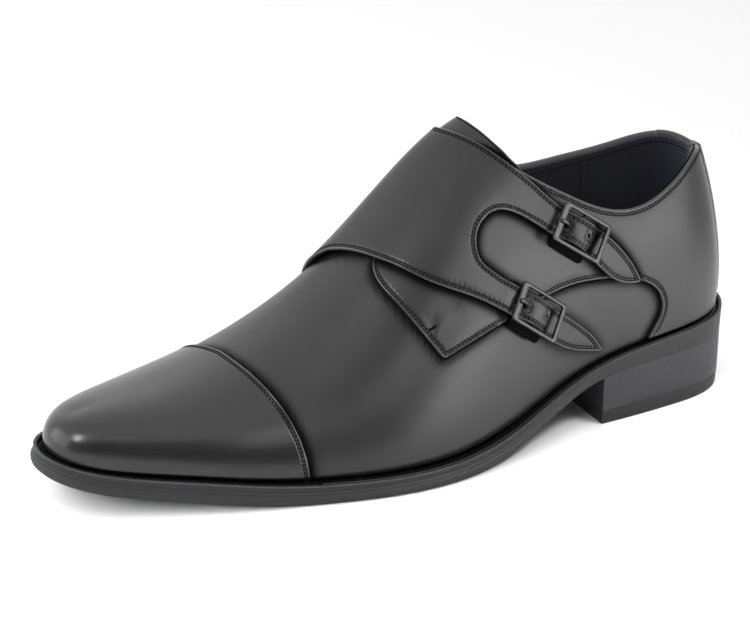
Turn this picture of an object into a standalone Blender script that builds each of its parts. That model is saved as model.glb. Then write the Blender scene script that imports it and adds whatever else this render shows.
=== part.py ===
"""A man's cap-toe shoe with two monk straps, left foot, built over its last.

Everything is worked out from one surface, the last.  It is a ring of ribs: each
rib rises from the feather line, where upper meets sole, to the ridge along the
top of the foot.  A place on it has two numbers:

    seam   0 at the back seam, 1 at the tip of the toe, along the feather line;
           a negative seam is the inner side of the back seam
    girth  0 at the outer feather line, 1 on the ridge, 2 at the inner feather line

Tables are in millimetres; the meshes are in metres, toe along +X, outer side
of the foot along +Y, and the ground at Z = 0.
"""

import math
from typing import NamedTuple

import bmesh
import bpy
import numpy as np
from mathutils import Matrix, Vector
from mathutils.geometry import delaunay_2d_cdt

MM = 0.001

# ---------------------------------------------------------------- driving sizes

HALF_LENGTH = 152.5       # from the back of the sole to the middle of the shoe
CENTRE_Y = 5.68           # the middle of the shoe's width, from the last's axis

FIT = 0.35                # gap between neighbouring pieces
WALL = 2.0                # upper: outer leather and lining
SKIN = 1.2                # one layer of leather laid over the upper
STRAP = 1.4               # strap leather, folded at its edges
TONGUE_GAP = 1.8          # the tongue hangs clear under the throat
OVER_UPPER = 0.5          # where a first layer starts, above the upper
OVER_SKIN = 2.2           # where a second layer starts, above a first

HEEL_LENGTH = 72.0        # from the back of the sole to the heel breast
TOP_PIECE = 6.0           # thickness of the lift that meets the ground
INSOLE = 2.6
LAND_DROP = 0.55          # seat of the upper and insole, below the sole's rim
LIP_WIDTH = 1.6           # raised rim along the sole's upper edge
GROOVE = 1.9              # depth of the groove behind the rim
BEAD_HALF_HEIGHT = 0.5
FOOT_GIRTH = 0.012        # where laid-over pieces start, just above the sole

SEAM_LENGTH = 343.0       # one side's feather line, for distances on the chart
GIRTH_LENGTH = 84.0       # a typical rib


class Outline(NamedTuple):
    """Half widths of the sole's rim at one station."""
    station: float
    outer: float
    inner: float


OUTLINE = [
    Outline(0.0, 0.0, 0.0),
    Outline(1.1, 6.5, 6.5),
    Outline(4.0, 12.8, 12.8),
    Outline(10.0, 20.6, 20.4),
    Outline(20.0, 26.6, 26.8),
    Outline(38.0, 31.0, 31.4),
    Outline(60.0, 34.2, 33.0),
    Outline(90.0, 38.0, 31.2),
    Outline(120.0, 48.9, 29.6),
    Outline(150.0, 57.6, 33.5),
    Outline(180.0, 58.2, 42.0),
    Outline(207.0, 53.3, 47.5),
    Outline(235.0, 46.8, 44.2),
    Outline(258.0, 39.4, 36.6),
    Outline(276.0, 33.0, 28.0),
    Outline(289.0, 28.3, 20.2),
    Outline(297.0, 23.6, 13.0),
    Outline(302.0, 17.8, 5.6),
    Outline(304.3, 11.8, -0.4),
    Outline(305.0, 6.0, -6.0),
]


class SoleHeight(NamedTuple):
    """Underside of the sole above the ground, and the height of its edge."""
    station: float
    underside: float
    edge: float


SOLE_HEIGHTS = [
    SoleHeight(0.0, 25.0, 11.0),
    SoleHeight(40.0, 23.6, 9.4),
    SoleHeight(72.0, 20.8, 9.0),
    SoleHeight(95.0, 12.3, 9.0),
    SoleHeight(120.0, 3.9, 9.2),
    SoleHeight(145.0, 0.5, 8.8),
    SoleHeight(175.0, 0.0, 8.4),
    SoleHeight(205.0, 0.0, 8.3),
    SoleHeight(225.0, 1.3, 8.3),
    SoleHeight(250.0, 4.4, 8.3),
    SoleHeight(280.0, 8.3, 8.3),
    SoleHeight(305.0, 14.6, 8.3),
]


class Feather(NamedTuple):
    """Distance of the upper's foot from the sole's rim."""
    seam: float
    inset: float


FEATHER = [
    Feather(0.0, 4.3),
    Feather(0.1, 4.2),
    Feather(0.25, 4.0),
    Feather(0.5, 5.0),
    Feather(1.0, 5.0),
]


class Rib(NamedTuple):
    """One rib of the last: its top on the ridge, and the form of each side.

    On each side, as shares of the rib's reach and height: how far the wall
    leans out, how high that is, the reach and height of the shoulder, and the
    reach of the flat top.
    """
    seam: float
    ridge_x: float
    ridge_y: float
    ridge_z: float
    out_lean: float
    out_rise: float
    out_reach: float
    out_shoulder: float
    out_top: float
    in_lean: float
    in_rise: float
    in_reach: float
    in_shoulder: float
    in_top: float


RIBS = [
    Rib(0.00, 24.0, -1.0, 120.0, .12, .25, .80, .60, .35, .12, .25, .80, .60, .35),
    Rib(0.10, 33.0, -1.0, 122.0, .08, .25, 1.0, .62, .50, .08, .25, 1.0, .62, .50),
    Rib(0.25, 78.0, -2.0, 127.0, .05, .25, .95, .65, .50, .08, .25, .95, .65, .50),
    Rib(0.40, 125.0, -4.0, 123.0, .03, .25, .86, .66, .52, .20, .26, .98, .65, .52),
    Rib(0.50, 158.0, -5.0, 94.0, .01, .25, .80, .73, .50, .20, .28, .95, .72, .50),
    Rib(0.62, 194.0, -5.0, 61.0, .00, .25, .82, .80, .50, .08, .30, .88, .80, .50),
    Rib(0.74, 230.0, -2.0, 43.2, .00, .30, .88, .84, .55, .03, .32, .88, .84, .55),
    Rib(0.86, 262.0, 1.0, 37.0, .00, .38, .92, .90, .60, .02, .38, .92, .90, .60),
    Rib(0.95, 280.0, 4.0, 35.6, .01, .40, .95, .93, .60, .01, .40, .95, .93, .60),
    Rib(1.00, 284.5, 5.0, 35.0, .02, .40, .95, .93, .60, .02, .40, .95, .93, .60),
]


class Topline(NamedTuple):
    """Girth share, up each side's rib, where the upper ends at the collar."""
    seam: float
    outer: float
    inner: float


THROAT = 0.42             # seam where the collar reaches the ridge

TOPLINE = [
    Topline(0.00, .665, .665),
    Topline(0.04, .670, .674),
    Topline(0.08, .655, .674),
    Topline(0.126, .588, .638),
    Topline(0.155, .540, .606),
    Topline(0.19, .499, .576),
    Topline(0.22, .491, .560),
    Topline(0.255, .518, .548),
    Topline(0.29, .574, .552),
    Topline(0.332, .655, .600),
    Topline(0.375, .760, .700),
    Topline(0.405, .880, .850),
    Topline(THROAT, 1.0, 1.0),
]


class Spot(NamedTuple):
    """A place on the last."""
    seam: float
    girth: float


CAP_SEAM = [
    Spot(.671, 0.0),
    Spot(.677, .25),
    Spot(.688, .45),
    Spot(.703, .67),
    Spot(.717, .92),
    Spot(.7235, 1.10),
    Spot(.728, 1.30),
    Spot(.731, 1.60),
    Spot(.728, 2.0),
]

# the outer quarter, from the sole near the heel, round its front, to the collar
QUARTER_LOBE = [
    Spot(.190, .0),
    Spot(.176, .07),
    Spot(.170, .128),
    Spot(.177, .189),
    Spot(.196, .236),
    Spot(.242, .277),
    Spot(.299, .31),
    Spot(.36, .322),
    Spot(.44, .338),
    Spot(.493, .347),
]
QUARTER_FRONT = [
    Spot(.493, .347),
    Spot(.504, .409),
    Spot(.518, .50),
    Spot(.531, .61),
    Spot(.5385, .70),
    Spot(.537, .78),
    Spot(.52, .84),
    Spot(.48, .87),
    Spot(.41, .86),
]

# the inner quarter: its front edge goes over the ridge and becomes the straps
FLAP_FRONT = [
    Spot(.535, 2.0),
    Spot(.552, 1.72),
    Spot(.566, 1.40),
    Spot(.569, 1.22),
    Spot(.562, 1.08),
    Spot(.5465, .945),
    Spot(.529, .793),
    Spot(.513, .692),
    Spot(.495, .602),
    Spot(.473, .526),
    Spot(.438, .437),
]
STRAP_NOTCH = [
    Spot(.404, .452),
    Spot(.418, .494),
    Spot(.428, .545),
    Spot(.424, .595),
    Spot(.410, .620),
    Spot(.392, .617),
    Spot(.369, .581),
    Spot(.351, .543),
]
FLAP_TOP = [
    Spot(.328, .615),
    Spot(.350, .685),
    Spot(.372, .765),
    Spot(.392, .867),
    Spot(.403, .955),
    Spot(.407, 1.06),
    Spot(.403, 1.15),
    Spot(.388, 1.26),
    Spot(.362, 1.37),
]

TONGUE = [
    Spot(.500, .76),
    Spot(.450, .72),
    Spot(.400, .69),
    Spot(.350, .69),
    Spot(.334, .705),
    Spot(.347, .76),
    Spot(.360, .83),
    Spot(.371, .90),
    Spot(.379, 1.01),
    Spot(.379, 1.08),
    Spot(.368, 1.17),
    Spot(.352, 1.25),
    Spot(.345, 1.31),
    Spot(.400, 1.33),
    Spot(.450, 1.31),
    Spot(.500, 1.27),
]


class StrapSpot(NamedTuple):
    """A place on a strap: distances from its buckle's middle, towards tip and collar."""
    along: float
    across: float


class BucklePlace(NamedTuple):
    """Middles of a buckle's front and rear bars, its turns, and its strap's edges to the tip.

    Tilt raises the rear bar and roll lowers the upper side, in radians.
    """
    name: str
    front: Spot
    rear: Spot
    tilt: float
    roll: float
    lower_edge: list
    upper_edge: list


BUCKLES = [
    BucklePlace(
        "upper_strap", Spot(.3164, .5141), Spot(.2626, .3963), 0.0, 0.12,
        [StrapSpot(-13.0, -5.6), StrapSpot(0.0, -5.1), StrapSpot(13.0, -5.9), StrapSpot(23.4, -7.7),
         StrapSpot(31.6, -6.5), StrapSpot(38.1, -2.8)],
        [StrapSpot(38.1, -2.8), StrapSpot(32.9, 0.1), StrapSpot(25.0, 3.2), StrapSpot(15.0, 5.6),
         StrapSpot(0.0, 6.1), StrapSpot(-13.0, 6.1)]),
    BucklePlace(
        "lower_strap", Spot(.3914, .3725), Spot(.3357, .2376), 0.09, 0.12,
        [StrapSpot(-14.0, -5.9), StrapSpot(0.0, -5.3), StrapSpot(17.0, -5.0), StrapSpot(27.3, -3.1),
         StrapSpot(34.6, -0.3), StrapSpot(42.7, 3.5)],
        [StrapSpot(42.7, 3.5), StrapSpot(36.9, 5.6), StrapSpot(28.2, 6.8), StrapSpot(17.0, 6.9),
         StrapSpot(11.0, 6.4), StrapSpot(0.0, 6.0), StrapSpot(-14.0, 5.8)]),
]

BUCKLE_LENGTH = 23.6
BUCKLE_WIDTH = 16.0
BUCKLE_THICKNESS = 1.2
BUCKLE_CORNER = 1.3
FRONT_BAR = 2.8
SIDE_BAR = 1.3
REAR_BAR = 1.5
BAR_RADIUS = 0.6
BUCKLE_LIFT = 7.0         # middle of the frame above the last
BAR_LIFT = 4.2            # middle of the hidden bar above the last


class StrapLift(NamedTuple):
    """Rise of a strap over its buckle's hidden bar, along the strap."""
    along: float
    lift: float


STRAP_LIFT = [
    StrapLift(-22.0, 0.0),
    StrapLift(-13.0, 0.9),
    StrapLift(-9.5, 0.8),
    StrapLift(-5.0, 2.4),
    StrapLift(0.0, 3.7),
    StrapLift(4.0, 2.4),
    StrapLift(8.5, 0.3),
    StrapLift(12.0, 0.0),
]
STRAP_HALF_WIDTH = 8.0    # beyond this the strap's rise fades out
STRAP_FADE = 4.0
OTHER_SIDE = 20.0         # places this far below a buckle lie on the shoe's other side
PRONG_RADIUS = 0.55
PRONG_HOLE = -7.0         # along the strap, from the hidden bar
PRONG_HOLE_LENGTH = 2.6   # half sizes of the hole
PRONG_HOLE_WIDTH = 1.5
TAB = (-11.0, 3.0, -9.6, 5.0)   # front, rear and side limits of the buckle's tab
TAB_LIFT = 2.05
TAB_THICKNESS = 0.5
TONGUE_RISE = 3.4         # the tongue's free end stands out towards the flap
TONGUE_RUN = 0.035        # seam over which it rises
TONGUE_REACH = 0.20       # girth either side of the ridge that rises
BACKSTAY_THICKNESS = 0.8
BACKSTAY_WIDTH = 12.0

# ---------------------------------------------------------------------- curves


def smooth_curve(places, values, slopes=(None, None)):
    """Return the cubic spline through rows of values.

    A slope of None leaves that end free; a number fixes the slope there.
    """
    x = np.asarray(places, float)
    y = np.asarray(values, float)
    if y.ndim == 1:
        y = y[:, None]
    count = len(x)
    step = np.diff(x)[:, None]
    rise = np.diff(y, axis=0) / step
    matrix = np.eye(count)
    right = np.zeros_like(y)
    for i in range(1, count - 1):
        matrix[i, i - 1:i + 2] = step[i - 1, 0], 2 * (step[i - 1, 0] + step[i, 0]), step[i, 0]
        right[i] = 6 * (rise[i] - rise[i - 1])
    if slopes[0] is not None:
        matrix[0, :2] = 2 * step[0, 0], step[0, 0]
        right[0] = 6 * (rise[0] - slopes[0])
    if slopes[1] is not None:
        matrix[-1, -2:] = step[-1, 0], 2 * step[-1, 0]
        right[-1] = 6 * (slopes[1] - rise[-1])
    bend = np.linalg.solve(matrix, right)

    def evaluate(at):
        at = np.clip(np.atleast_1d(np.asarray(at, float)), x[0], x[-1])
        i = np.clip(np.searchsorted(x, at, side="right") - 1, 0, count - 2)
        a = ((x[i + 1] - at) / step[i, 0])[:, None]
        b = 1 - a
        curve = a * y[i] + b * y[i + 1]
        return curve + ((a**3 - a) * bend[i] + (b**3 - b) * bend[i + 1]) * step[i]**2 / 6

    return evaluate


def table_curve(rows, slopes=(None, None)):
    """Spline through a table whose first column is the place."""
    table = np.array(rows, float)
    return smooth_curve(table[:, 0], table[:, 1:], slopes)


def smooth_step(value):
    """Ease from 0 to 1."""
    value = np.clip(value, 0.0, 1.0)
    return value * value * (3 - 2 * value)


# -------------------------------------------------------------- sole and last


def rim_side(column, samples=1600):
    """One side of the sole's rim, even steps of seam from back to toe."""
    rows = np.array([(row.station, row[column]) for row in OUTLINE])
    chord = np.r_[0, np.cumsum(np.hypot(*np.diff(rows, axis=0).T))]
    across_at_toe = -1.0
    fine = np.linspace(0, chord[-1], samples)
    station = smooth_curve(chord, rows[:, 0], (0.0, 0.0))(fine)[:, 0]
    width = smooth_curve(chord, rows[:, 1], (1.0, across_at_toe))(fine)[:, 0]
    length = np.r_[0, np.cumsum(np.hypot(np.diff(station), np.diff(width)))]
    return length / length[-1], station, width


RIM = {1: rim_side(1), -1: rim_side(2)}
SOLE_CURVE = table_curve(SOLE_HEIGHTS)
FEATHER_CURVE = table_curve(FEATHER, (0.0, 0.0))
RIB_CURVE = table_curve(RIBS, (0.0, 0.0))
TOPLINE_CURVE = table_curve(TOPLINE, (0.0, None))
CAP_CURVE = smooth_curve([spot.girth for spot in CAP_SEAM], [spot.seam for spot in CAP_SEAM])


def rim(seam, side, inset):
    """Points of the rim moved inwards: station and width, in plan."""
    share, station, width = RIM[side]
    nudge = 1e-3

    def at(value):
        value = np.clip(value, 0.0, 1.0)
        return np.stack([np.interp(value, share, station), side * np.interp(value, share, width)], -1)

    seam = np.asarray(seam, float)
    run = at(seam + nudge) - at(seam - nudge)
    run[seam < nudge] = (0.0, side)
    run[seam > 1 - nudge] = (0.0, -side)
    run /= np.linalg.norm(run, axis=-1, keepdims=True)
    inwards = np.stack([run[..., 1], -run[..., 0]], -1) * side
    return at(seam) + inwards * np.broadcast_to(inset, seam.shape)[..., None]


def underside(station):
    """Height of the sole's underside; the ball of the foot lies flat."""
    return np.maximum(SOLE_CURVE(station)[:, 0], 0.0)


def rim_height(station):
    """Height of the sole's rim."""
    return underside(station) + SOLE_CURVE(station)[:, 1]


def ridge_slope(seam):
    """Fall of the ridge along the shoe, steady at its two ends."""
    inside = np.clip(seam, 0.015, 0.985)
    ahead = RIB_CURVE(inside + 1e-3) - RIB_CURVE(inside - 1e-3)
    return ahead[:, 2] / ahead[:, 0]


def rib_point(seam, climb, side):
    """Points on one side's ribs; climb is 0 at the feather line, 1 on the ridge."""
    form = RIB_CURVE(seam)
    ridge = form[:, :3]
    lean, rise, reach, shoulder, top = form[:, 3:8].T if side > 0 else form[:, 8:13].T
    foot = rim(seam, side, FEATHER_CURVE(seam)[:, 0])
    ground = rim_height(foot[:, 0])
    out = foot - ridge[:, :2]
    height = ridge[:, 2] - ground

    def control(distance, share):
        return np.column_stack([ridge[:, :2] + out * distance[:, None], ground + height * share])

    crest = control(top, np.ones_like(top))
    crest[:, 2] += ridge_slope(seam) * out[:, 0] * top
    controls = [control(np.ones_like(top), np.zeros_like(top)), control(1 + lean, rise),
                control(reach, shoulder), crest, ridge]
    degree = len(controls) - 1
    points = np.zeros_like(ridge)
    for i, place in enumerate(controls):
        weight = math.comb(degree, i) * (1 - climb) ** (degree - i) * climb ** i
        points += weight[:, None] * place
    return points


def last_surface(seam, girth):
    """Points on the last in millimetres, for any seam and girth."""
    seam = np.atleast_1d(np.asarray(seam, float))
    girth = np.atleast_1d(np.asarray(girth, float))
    seam, girth = np.broadcast_arrays(seam, girth)
    mirrored = (seam < 0) | (seam > 1)
    girth = np.where(mirrored, 2 - girth, girth)
    seam = np.where(seam < 0, -seam, np.where(seam > 1, 2 - seam, seam))
    outer = rib_point(seam, np.minimum(girth, 1.0), 1)
    inner = rib_point(seam, np.minimum(2 - girth, 1.0), -1)
    return np.where((girth <= 1)[:, None], outer, inner)


def last_normal(seam, girth):
    """Unit normals of the last, facing out."""
    seam = np.atleast_1d(np.asarray(seam, float))
    girth = np.atleast_1d(np.asarray(girth, float))
    seam, girth = np.broadcast_arrays(seam, girth)
    nudge = 1.5e-3
    near_ridge = np.abs(girth - 1) < 0.06
    at = np.where(near_ridge, np.clip(seam, 0.015, 0.985), seam)
    along = last_surface(at + nudge, girth) - last_surface(at - nudge, girth)
    around = last_surface(at, girth + nudge) - last_surface(at, girth - nudge)
    normal = np.cross(around, along)
    normal /= np.linalg.norm(normal, axis=1, keepdims=True)
    return normal


def last_point(seam, girth, lift=0.0):
    """Points on the last, raised off it by lift."""
    lift = np.asarray(lift, float)
    points = last_surface(seam, girth)
    return points + last_normal(seam, girth) * np.broadcast_to(lift, len(points))[:, None]


def in_metres(points):
    """From the last's own axes to the shoe's frame."""
    return (np.asarray(points) - (HALF_LENGTH, CENTRE_Y, 0.0)) * MM


# ----------------------------------------------------------------- buckle places


class BuckleFrame:
    """Where one buckle sits: its middle, and its axes along and across the strap."""

    def __init__(self, place):
        self.name = place.name
        self.place = place
        ends = [last_point(spot.seam, spot.girth)[0] for spot in (place.front, place.rear)]
        self.middle = (ends[0] + ends[1]) / 2
        along = (ends[1] - ends[0]) / np.linalg.norm(ends[1] - ends[0])
        self.guess = ((place.front.seam + place.rear.seam) / 2, (place.front.girth + place.rear.girth) / 2)
        up = last_normal(*self.guess)[0]
        up -= along * (up @ along)
        up /= np.linalg.norm(up)
        across = np.cross(up, along)
        self.along = along * math.cos(place.tilt) + up * math.sin(place.tilt)
        up = up * math.cos(place.tilt) - along * math.sin(place.tilt)
        self.across = across * math.cos(place.roll) - up * math.sin(place.roll)
        self.up = up * math.cos(place.roll) + across * math.sin(place.roll)

    def offsets(self, points):
        """Distances of points from the middle: along and across the strap, and up off it."""
        away = points - self.middle
        return away @ self.along, away @ self.across, away @ self.up

    def spot(self, along, across):
        """Seam and girth of the place on the last at these offsets."""
        place = np.array(self.guess)
        nudge = 1e-4
        for _ in range(12):
            trial = place + np.array([(0, 0), (nudge, 0), (0, nudge)])
            here = np.stack(self.offsets(last_surface(trial[:, 0], trial[:, 1]))[:2], -1)
            slopes = np.stack([here[1] - here[0], here[2] - here[0]], -1) / nudge
            place = place + np.linalg.solve(slopes, np.array([along, across]) - here[0])
        return Spot(*place)

    def strap_edges(self):
        """Spots along the strap's lower edge to its tip, and back along its upper edge."""
        rows = (self.place.lower_edge, self.place.upper_edge)
        return [[self.spot(row.along, row.across) for row in edge] for edge in rows]

    def matrix(self, lift):
        """Placement of a piece modelled with X along the strap and Z up."""
        origin = in_metres(self.middle + self.up * lift)
        turn = Matrix([self.along, self.across, self.up]).transposed()
        return Matrix.Translation(Vector(origin)) @ turn.to_4x4()


BUCKLE_FRAMES = [BuckleFrame(place) for place in BUCKLES]
STRAP_CURVE = table_curve(STRAP_LIFT, (0.0, 0.0))


def flap_lift(seam, girth):
    """Height of the flap's inner face: on the upper inside, over the quarter outside."""
    inner_side, ridge_side = 1.32, 1.02
    over = smooth_step((inner_side - girth) / (inner_side - ridge_side))
    lift = OVER_UPPER + (OVER_SKIN - OVER_UPPER) * over
    points = last_surface(seam, girth)
    for frame in BUCKLE_FRAMES:
        along, across, height = frame.offsets(points)
        on_strap = 1 - smooth_step((np.abs(across) - STRAP_HALF_WIDTH) / STRAP_FADE)
        on_strap = np.where(height > -OTHER_SIDE, on_strap, 0.0)
        lift = lift + STRAP_CURVE(along)[:, 0] * on_strap
    return lift


def tongue_lift(seam, girth):
    """Height of the tongue's inner face: under the throat, then out towards the flap."""
    free = smooth_step((THROAT - 0.005 - seam) / TONGUE_RUN)
    off_ridge = smooth_step((TONGUE_REACH - np.abs(girth - 1)) / (TONGUE_REACH / 2))
    return TONGUE_RISE * free * off_ridge - (WALL + TONGUE_GAP + SKIN)


# ---------------------------------------------------------------- mesh helpers


def make_material(name, colour, roughness, metallic=0.0):
    """A Principled material of one colour."""
    material = bpy.data.materials.new(name)
    material.use_nodes = True
    shader = material.node_tree.nodes["Principled BSDF"]
    shader.inputs["Base Color"].default_value = (*colour, 1.0)
    shader.inputs["Roughness"].default_value = roughness
    shader.inputs["Metallic"].default_value = metallic
    material.diffuse_color = (*colour, 1.0)
    return material


def add_object(name, mesh, material, collection):
    """Put a mesh in the shoe's collection, smooth but for its real edges."""
    mesh.materials.append(material)
    piece = bpy.data.objects.new(name, mesh)
    collection.objects.link(piece)
    mesh.shade_smooth()
    mesh.set_sharp_from_angle(angle=math.radians(40))
    return piece


def mesh_from(name, points, faces):
    """Make a mesh, with its faces turned outwards."""
    body = bmesh.new()
    corners = [body.verts.new(point) for point in points]
    for face in faces:
        body.faces.new([corners[i] for i in face])
    bmesh.ops.recalc_face_normals(body, faces=body.faces)
    mesh = bpy.data.meshes.new(name)
    body.to_mesh(mesh)
    body.free()
    return mesh


def shell(name, points, faces, thickness, direction, material, collection):
    """An open surface given a thickness, outwards for 1 and inwards for -1."""
    body = bmesh.new()
    corners = [body.verts.new(point) for point in in_metres(points)]
    for face in faces:
        body.faces.new([corners[i] for i in face])
    bmesh.ops.remove_doubles(body, verts=body.verts, dist=0.02 * MM)
    mesh = bpy.data.meshes.new(name)
    body.to_mesh(mesh)
    body.free()
    piece = add_object(name, mesh, material, collection)
    solidify = piece.modifiers.new("thickness", "SOLIDIFY")
    solidify.thickness = thickness * MM
    solidify.offset = direction
    solidify.use_even_offset = False
    return piece


def side_steps(count, crowd=0.4):
    """Seam values from back to toe, closer together at the two ends."""
    even = np.linspace(0.0, 1.0, count + 1)
    return even - crowd * np.sin(2 * math.pi * even) / (2 * math.pi)


SEAM_STEPS = side_steps(42)
THROAT_STEPS = (0.392, 0.407, THROAT, 0.435)   # close columns where the collar closes
SEAM_STEPS = SEAM_STEPS[[min(abs(seam - step) for step in THROAT_STEPS) > 0.01 for seam in SEAM_STEPS]]
SEAM_STEPS = np.sort(np.r_[SEAM_STEPS, THROAT_STEPS])
CLIMB_STEPS = np.linspace(0.0, 1.0, 11)
LEAST_STEP = 1.3          # spots nearer to an outline than this are left out
SOLE_STEPS = side_steps(32)


def rim_loop(steps, inset, height):
    """One closed level of the sole: outer side to the toe, inner side back."""
    loop = []
    for side, seams in ((1, steps), (-1, steps[-2:0:-1])):
        distance = inset(seams) if callable(inset) else inset
        plan = rim(seams, side, distance)
        loop.append(np.column_stack([plan, height(plan[:, 0])]))
    return np.concatenate(loop)


def loft_faces(levels, count):
    """Quads between each two levels of a stack of closed loops."""
    faces = []
    for level in range(levels - 1):
        for i in range(count):
            j = (i + 1) % count
            low, high = level * count, (level + 1) * count
            faces.append((low + i, low + j, high + j, high + i))
    return faces


def cap_faces(start, count):
    """Close a loop with strips that join its two sides."""
    half = count // 2
    faces = [(start, start + 1, start + count - 1)]
    for i in range(1, (count - 1) // 2):
        faces.append((start + i, start + i + 1, start + count - i - 1, start + count - i))
    if count % 2 == 0:
        faces.append((start + half - 1, start + half, start + half + 1))
    return faces


def stack(name, loops, material, collection):
    """A closed body through a stack of loops, its first and last closed."""
    count = len(loops[0])
    faces = loft_faces(len(loops), count)
    faces += cap_faces(0, count)
    faces += cap_faces((len(loops) - 1) * count, count)
    mesh = mesh_from(name, in_metres(np.concatenate(loops)), faces)
    return add_object(name, mesh, material, collection)


# ------------------------------------------------------------------- the sole


class EdgeStep(NamedTuple):
    """A level of the sole's side: its inset, and its share of the edge height."""
    inset: float
    share: float


SOLE_EDGE = [
    EdgeStep(1.4, 0.0),
    EdgeStep(-0.7, 0.13),
    EdgeStep(-1.3, 0.32),
    EdgeStep(-0.8, 0.52),
    EdgeStep(0.2, 0.76),
    EdgeStep(0.0, 1.0),
    EdgeStep(LIP_WIDTH, 1.0),
]


def build_outsole(material, collection):
    """Outsole with its rounded side, raised rim, groove, arch and toe spring."""
    loops = []
    for step in SOLE_EDGE:
        def height(station, share=step.share):
            low = underside(station)
            return low + (rim_height(station) - low) * share
        loops.append(rim_loop(SOLE_STEPS, step.inset, height))

    def groove_floor(station):
        return rim_height(station) - GROOVE

    def land(station):
        return rim_height(station) - LAND_DROP

    def groove_back(seam):
        return FEATHER_CURVE(seam)[:, 0] - FIT

    loops.append(rim_loop(SOLE_STEPS, LIP_WIDTH + 0.1, groove_floor))
    loops.append(rim_loop(SOLE_STEPS, groove_back, groove_floor))
    loops.append(rim_loop(SOLE_STEPS, groove_back, land))
    return stack("outsole", loops, material, collection)


def build_welt(material, collection):
    """The glossy bead that fills the groove between rim and upper."""
    corners = 5
    loops = []
    for corner in range(corners):
        angle = 2 * math.pi * corner / corners

        def inset(seam, angle=angle):
            front = LIP_WIDTH + 0.1 + FIT
            back = FEATHER_CURVE(seam)[:, 0] - 2 * FIT
            return (front + back) / 2 - (back - front) / 2 * math.cos(angle)

        def height(station, angle=angle):
            return rim_height(station) - GROOVE / 2 - 0.1 + BEAD_HALF_HEIGHT * math.sin(angle)

        loops.append(rim_loop(SOLE_STEPS, inset, height))
    count = len(loops[0])
    faces = loft_faces(corners, count)
    last = (corners - 1) * count
    for i in range(count):
        j = (i + 1) % count
        faces.append((last + i, last + j, j, i))
    mesh = mesh_from("welt_bead", in_metres(np.concatenate(loops)), faces)
    return add_object("welt_bead", mesh, material, collection)


def build_insole(material, collection):
    """Insole board, lying on the sole inside the upper's wall."""
    def inset(seam):
        return FEATHER_CURVE(seam)[:, 0] + WALL + 2 * FIT

    loops = []
    for lift in (FIT - LAND_DROP, FIT - LAND_DROP + INSOLE):
        loops.append(rim_loop(SOLE_STEPS, inset, lambda station, lift=lift: rim_height(station) + lift))
    return stack("insole", loops, material, collection)


class HeelStep(NamedTuple):
    """A level of the heel: its share of the height, and its inset."""
    share: float
    inset: float


HEEL_SIDE = [
    HeelStep(0.0, 1.5),
    HeelStep(0.5, 0.9),
    HeelStep(1.0, 0.5),
]
TOP_PIECE_INSET = 1.9


def heel_loop(inset, height, steps=14):
    """One level of the heel: round the back and straight across the breast."""
    share, station, _ = RIM[1]
    breast = np.interp(HEEL_LENGTH, station, share)
    seams = breast * (1 - np.cos(np.linspace(0, math.pi / 2, steps)))
    outer = rim(seams, 1, inset)
    inner = rim(seams[1:], -1, inset)
    plan = np.concatenate([outer, inner[::-1]])
    plan[:, 0] = np.minimum(plan[:, 0], HEEL_LENGTH)
    return np.column_stack([plan, height(plan[:, 0])])


def build_heel(material, collection):
    """Stacked heel block under the sole's seat."""
    loops = []
    for step in HEEL_SIDE:
        def height(station, share=step.share):
            bottom = TOP_PIECE + FIT
            return bottom + (underside(station) - FIT - 0.1 - bottom) * share
        loops.append(heel_loop(step.inset, height))
    return stack("heel_block", loops, material, collection)


def build_top_piece(material, collection):
    """Lift that meets the ground."""
    loops = []
    for level, inset in ((0.0, TOP_PIECE_INSET), (TOP_PIECE, HEEL_SIDE[0].inset)):
        loops.append(heel_loop(inset, lambda station, level=level: np.full_like(station, level)))
    return stack("top_piece", loops, material, collection)


# ------------------------------------------------------------------ the upper

SLOT_START = 0.40         # seams between which the throat is slit
SLOT_END = 0.49
SLOT_CLIMB = 0.90         # climb above which the outer side is slit


def collar_climb(seam, side):
    """How far up its rib the upper goes."""
    column = 0 if side > 0 else 1
    climb = TOPLINE_CURVE(np.minimum(seam, THROAT))[:, column]
    return np.where(seam >= THROAT, 1.0, np.minimum(climb, 1.0))


def upper_grid(side):
    """Seam and girth of the upper's grid on one side, rows of columns."""
    climb = np.outer(collar_climb(SEAM_STEPS, side), CLIMB_STEPS)
    seam = np.repeat(SEAM_STEPS[:, None], len(CLIMB_STEPS), axis=1)
    return seam, (climb if side > 0 else 2 - climb)


def build_upper(material, collection):
    """Vamp and quarter linings in one hollow wall, open at collar, throat and sole."""
    points = []
    faces = []
    for side in (1, -1):
        seam, girth = upper_grid(side)
        start = sum(len(block) for block in points)
        points.append(last_point(seam.ravel(), girth.ravel()))
        rows = len(CLIMB_STEPS)
        for i in range(len(SEAM_STEPS) - 1):
            middle = (SEAM_STEPS[i] + SEAM_STEPS[i + 1]) / 2
            for j in range(rows - 1):
                climb = (CLIMB_STEPS[j] + CLIMB_STEPS[j + 1]) / 2
                in_slot = SLOT_START < middle < SLOT_END and climb > SLOT_CLIMB and side > 0
                if in_slot:
                    continue
                a = start + i * rows + j
                quad = (a, a + rows, a + rows + 1, a + 1)
                faces.append(quad if side < 0 else quad[::-1])
    return shell("upper", np.concatenate(points), faces, WALL, -1, material, collection)


def chart(spots):
    """Spots as near-true distances on a flat chart."""
    return np.asarray(spots, float) * (SEAM_LENGTH, GIRTH_LENGTH)


def run_through(spots, step=5.0):
    """A smooth run of spots, its last one left off."""
    flat = chart(spots)
    chord = np.r_[0, np.cumsum(np.hypot(*np.diff(flat, axis=0).T))]
    count = max(2, int(round(chord[-1] / step)))
    at = np.linspace(0, chord[-1], count + 1)[:-1]
    return smooth_curve(chord, flat)(at) / (SEAM_LENGTH, GIRTH_LENGTH)


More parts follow.
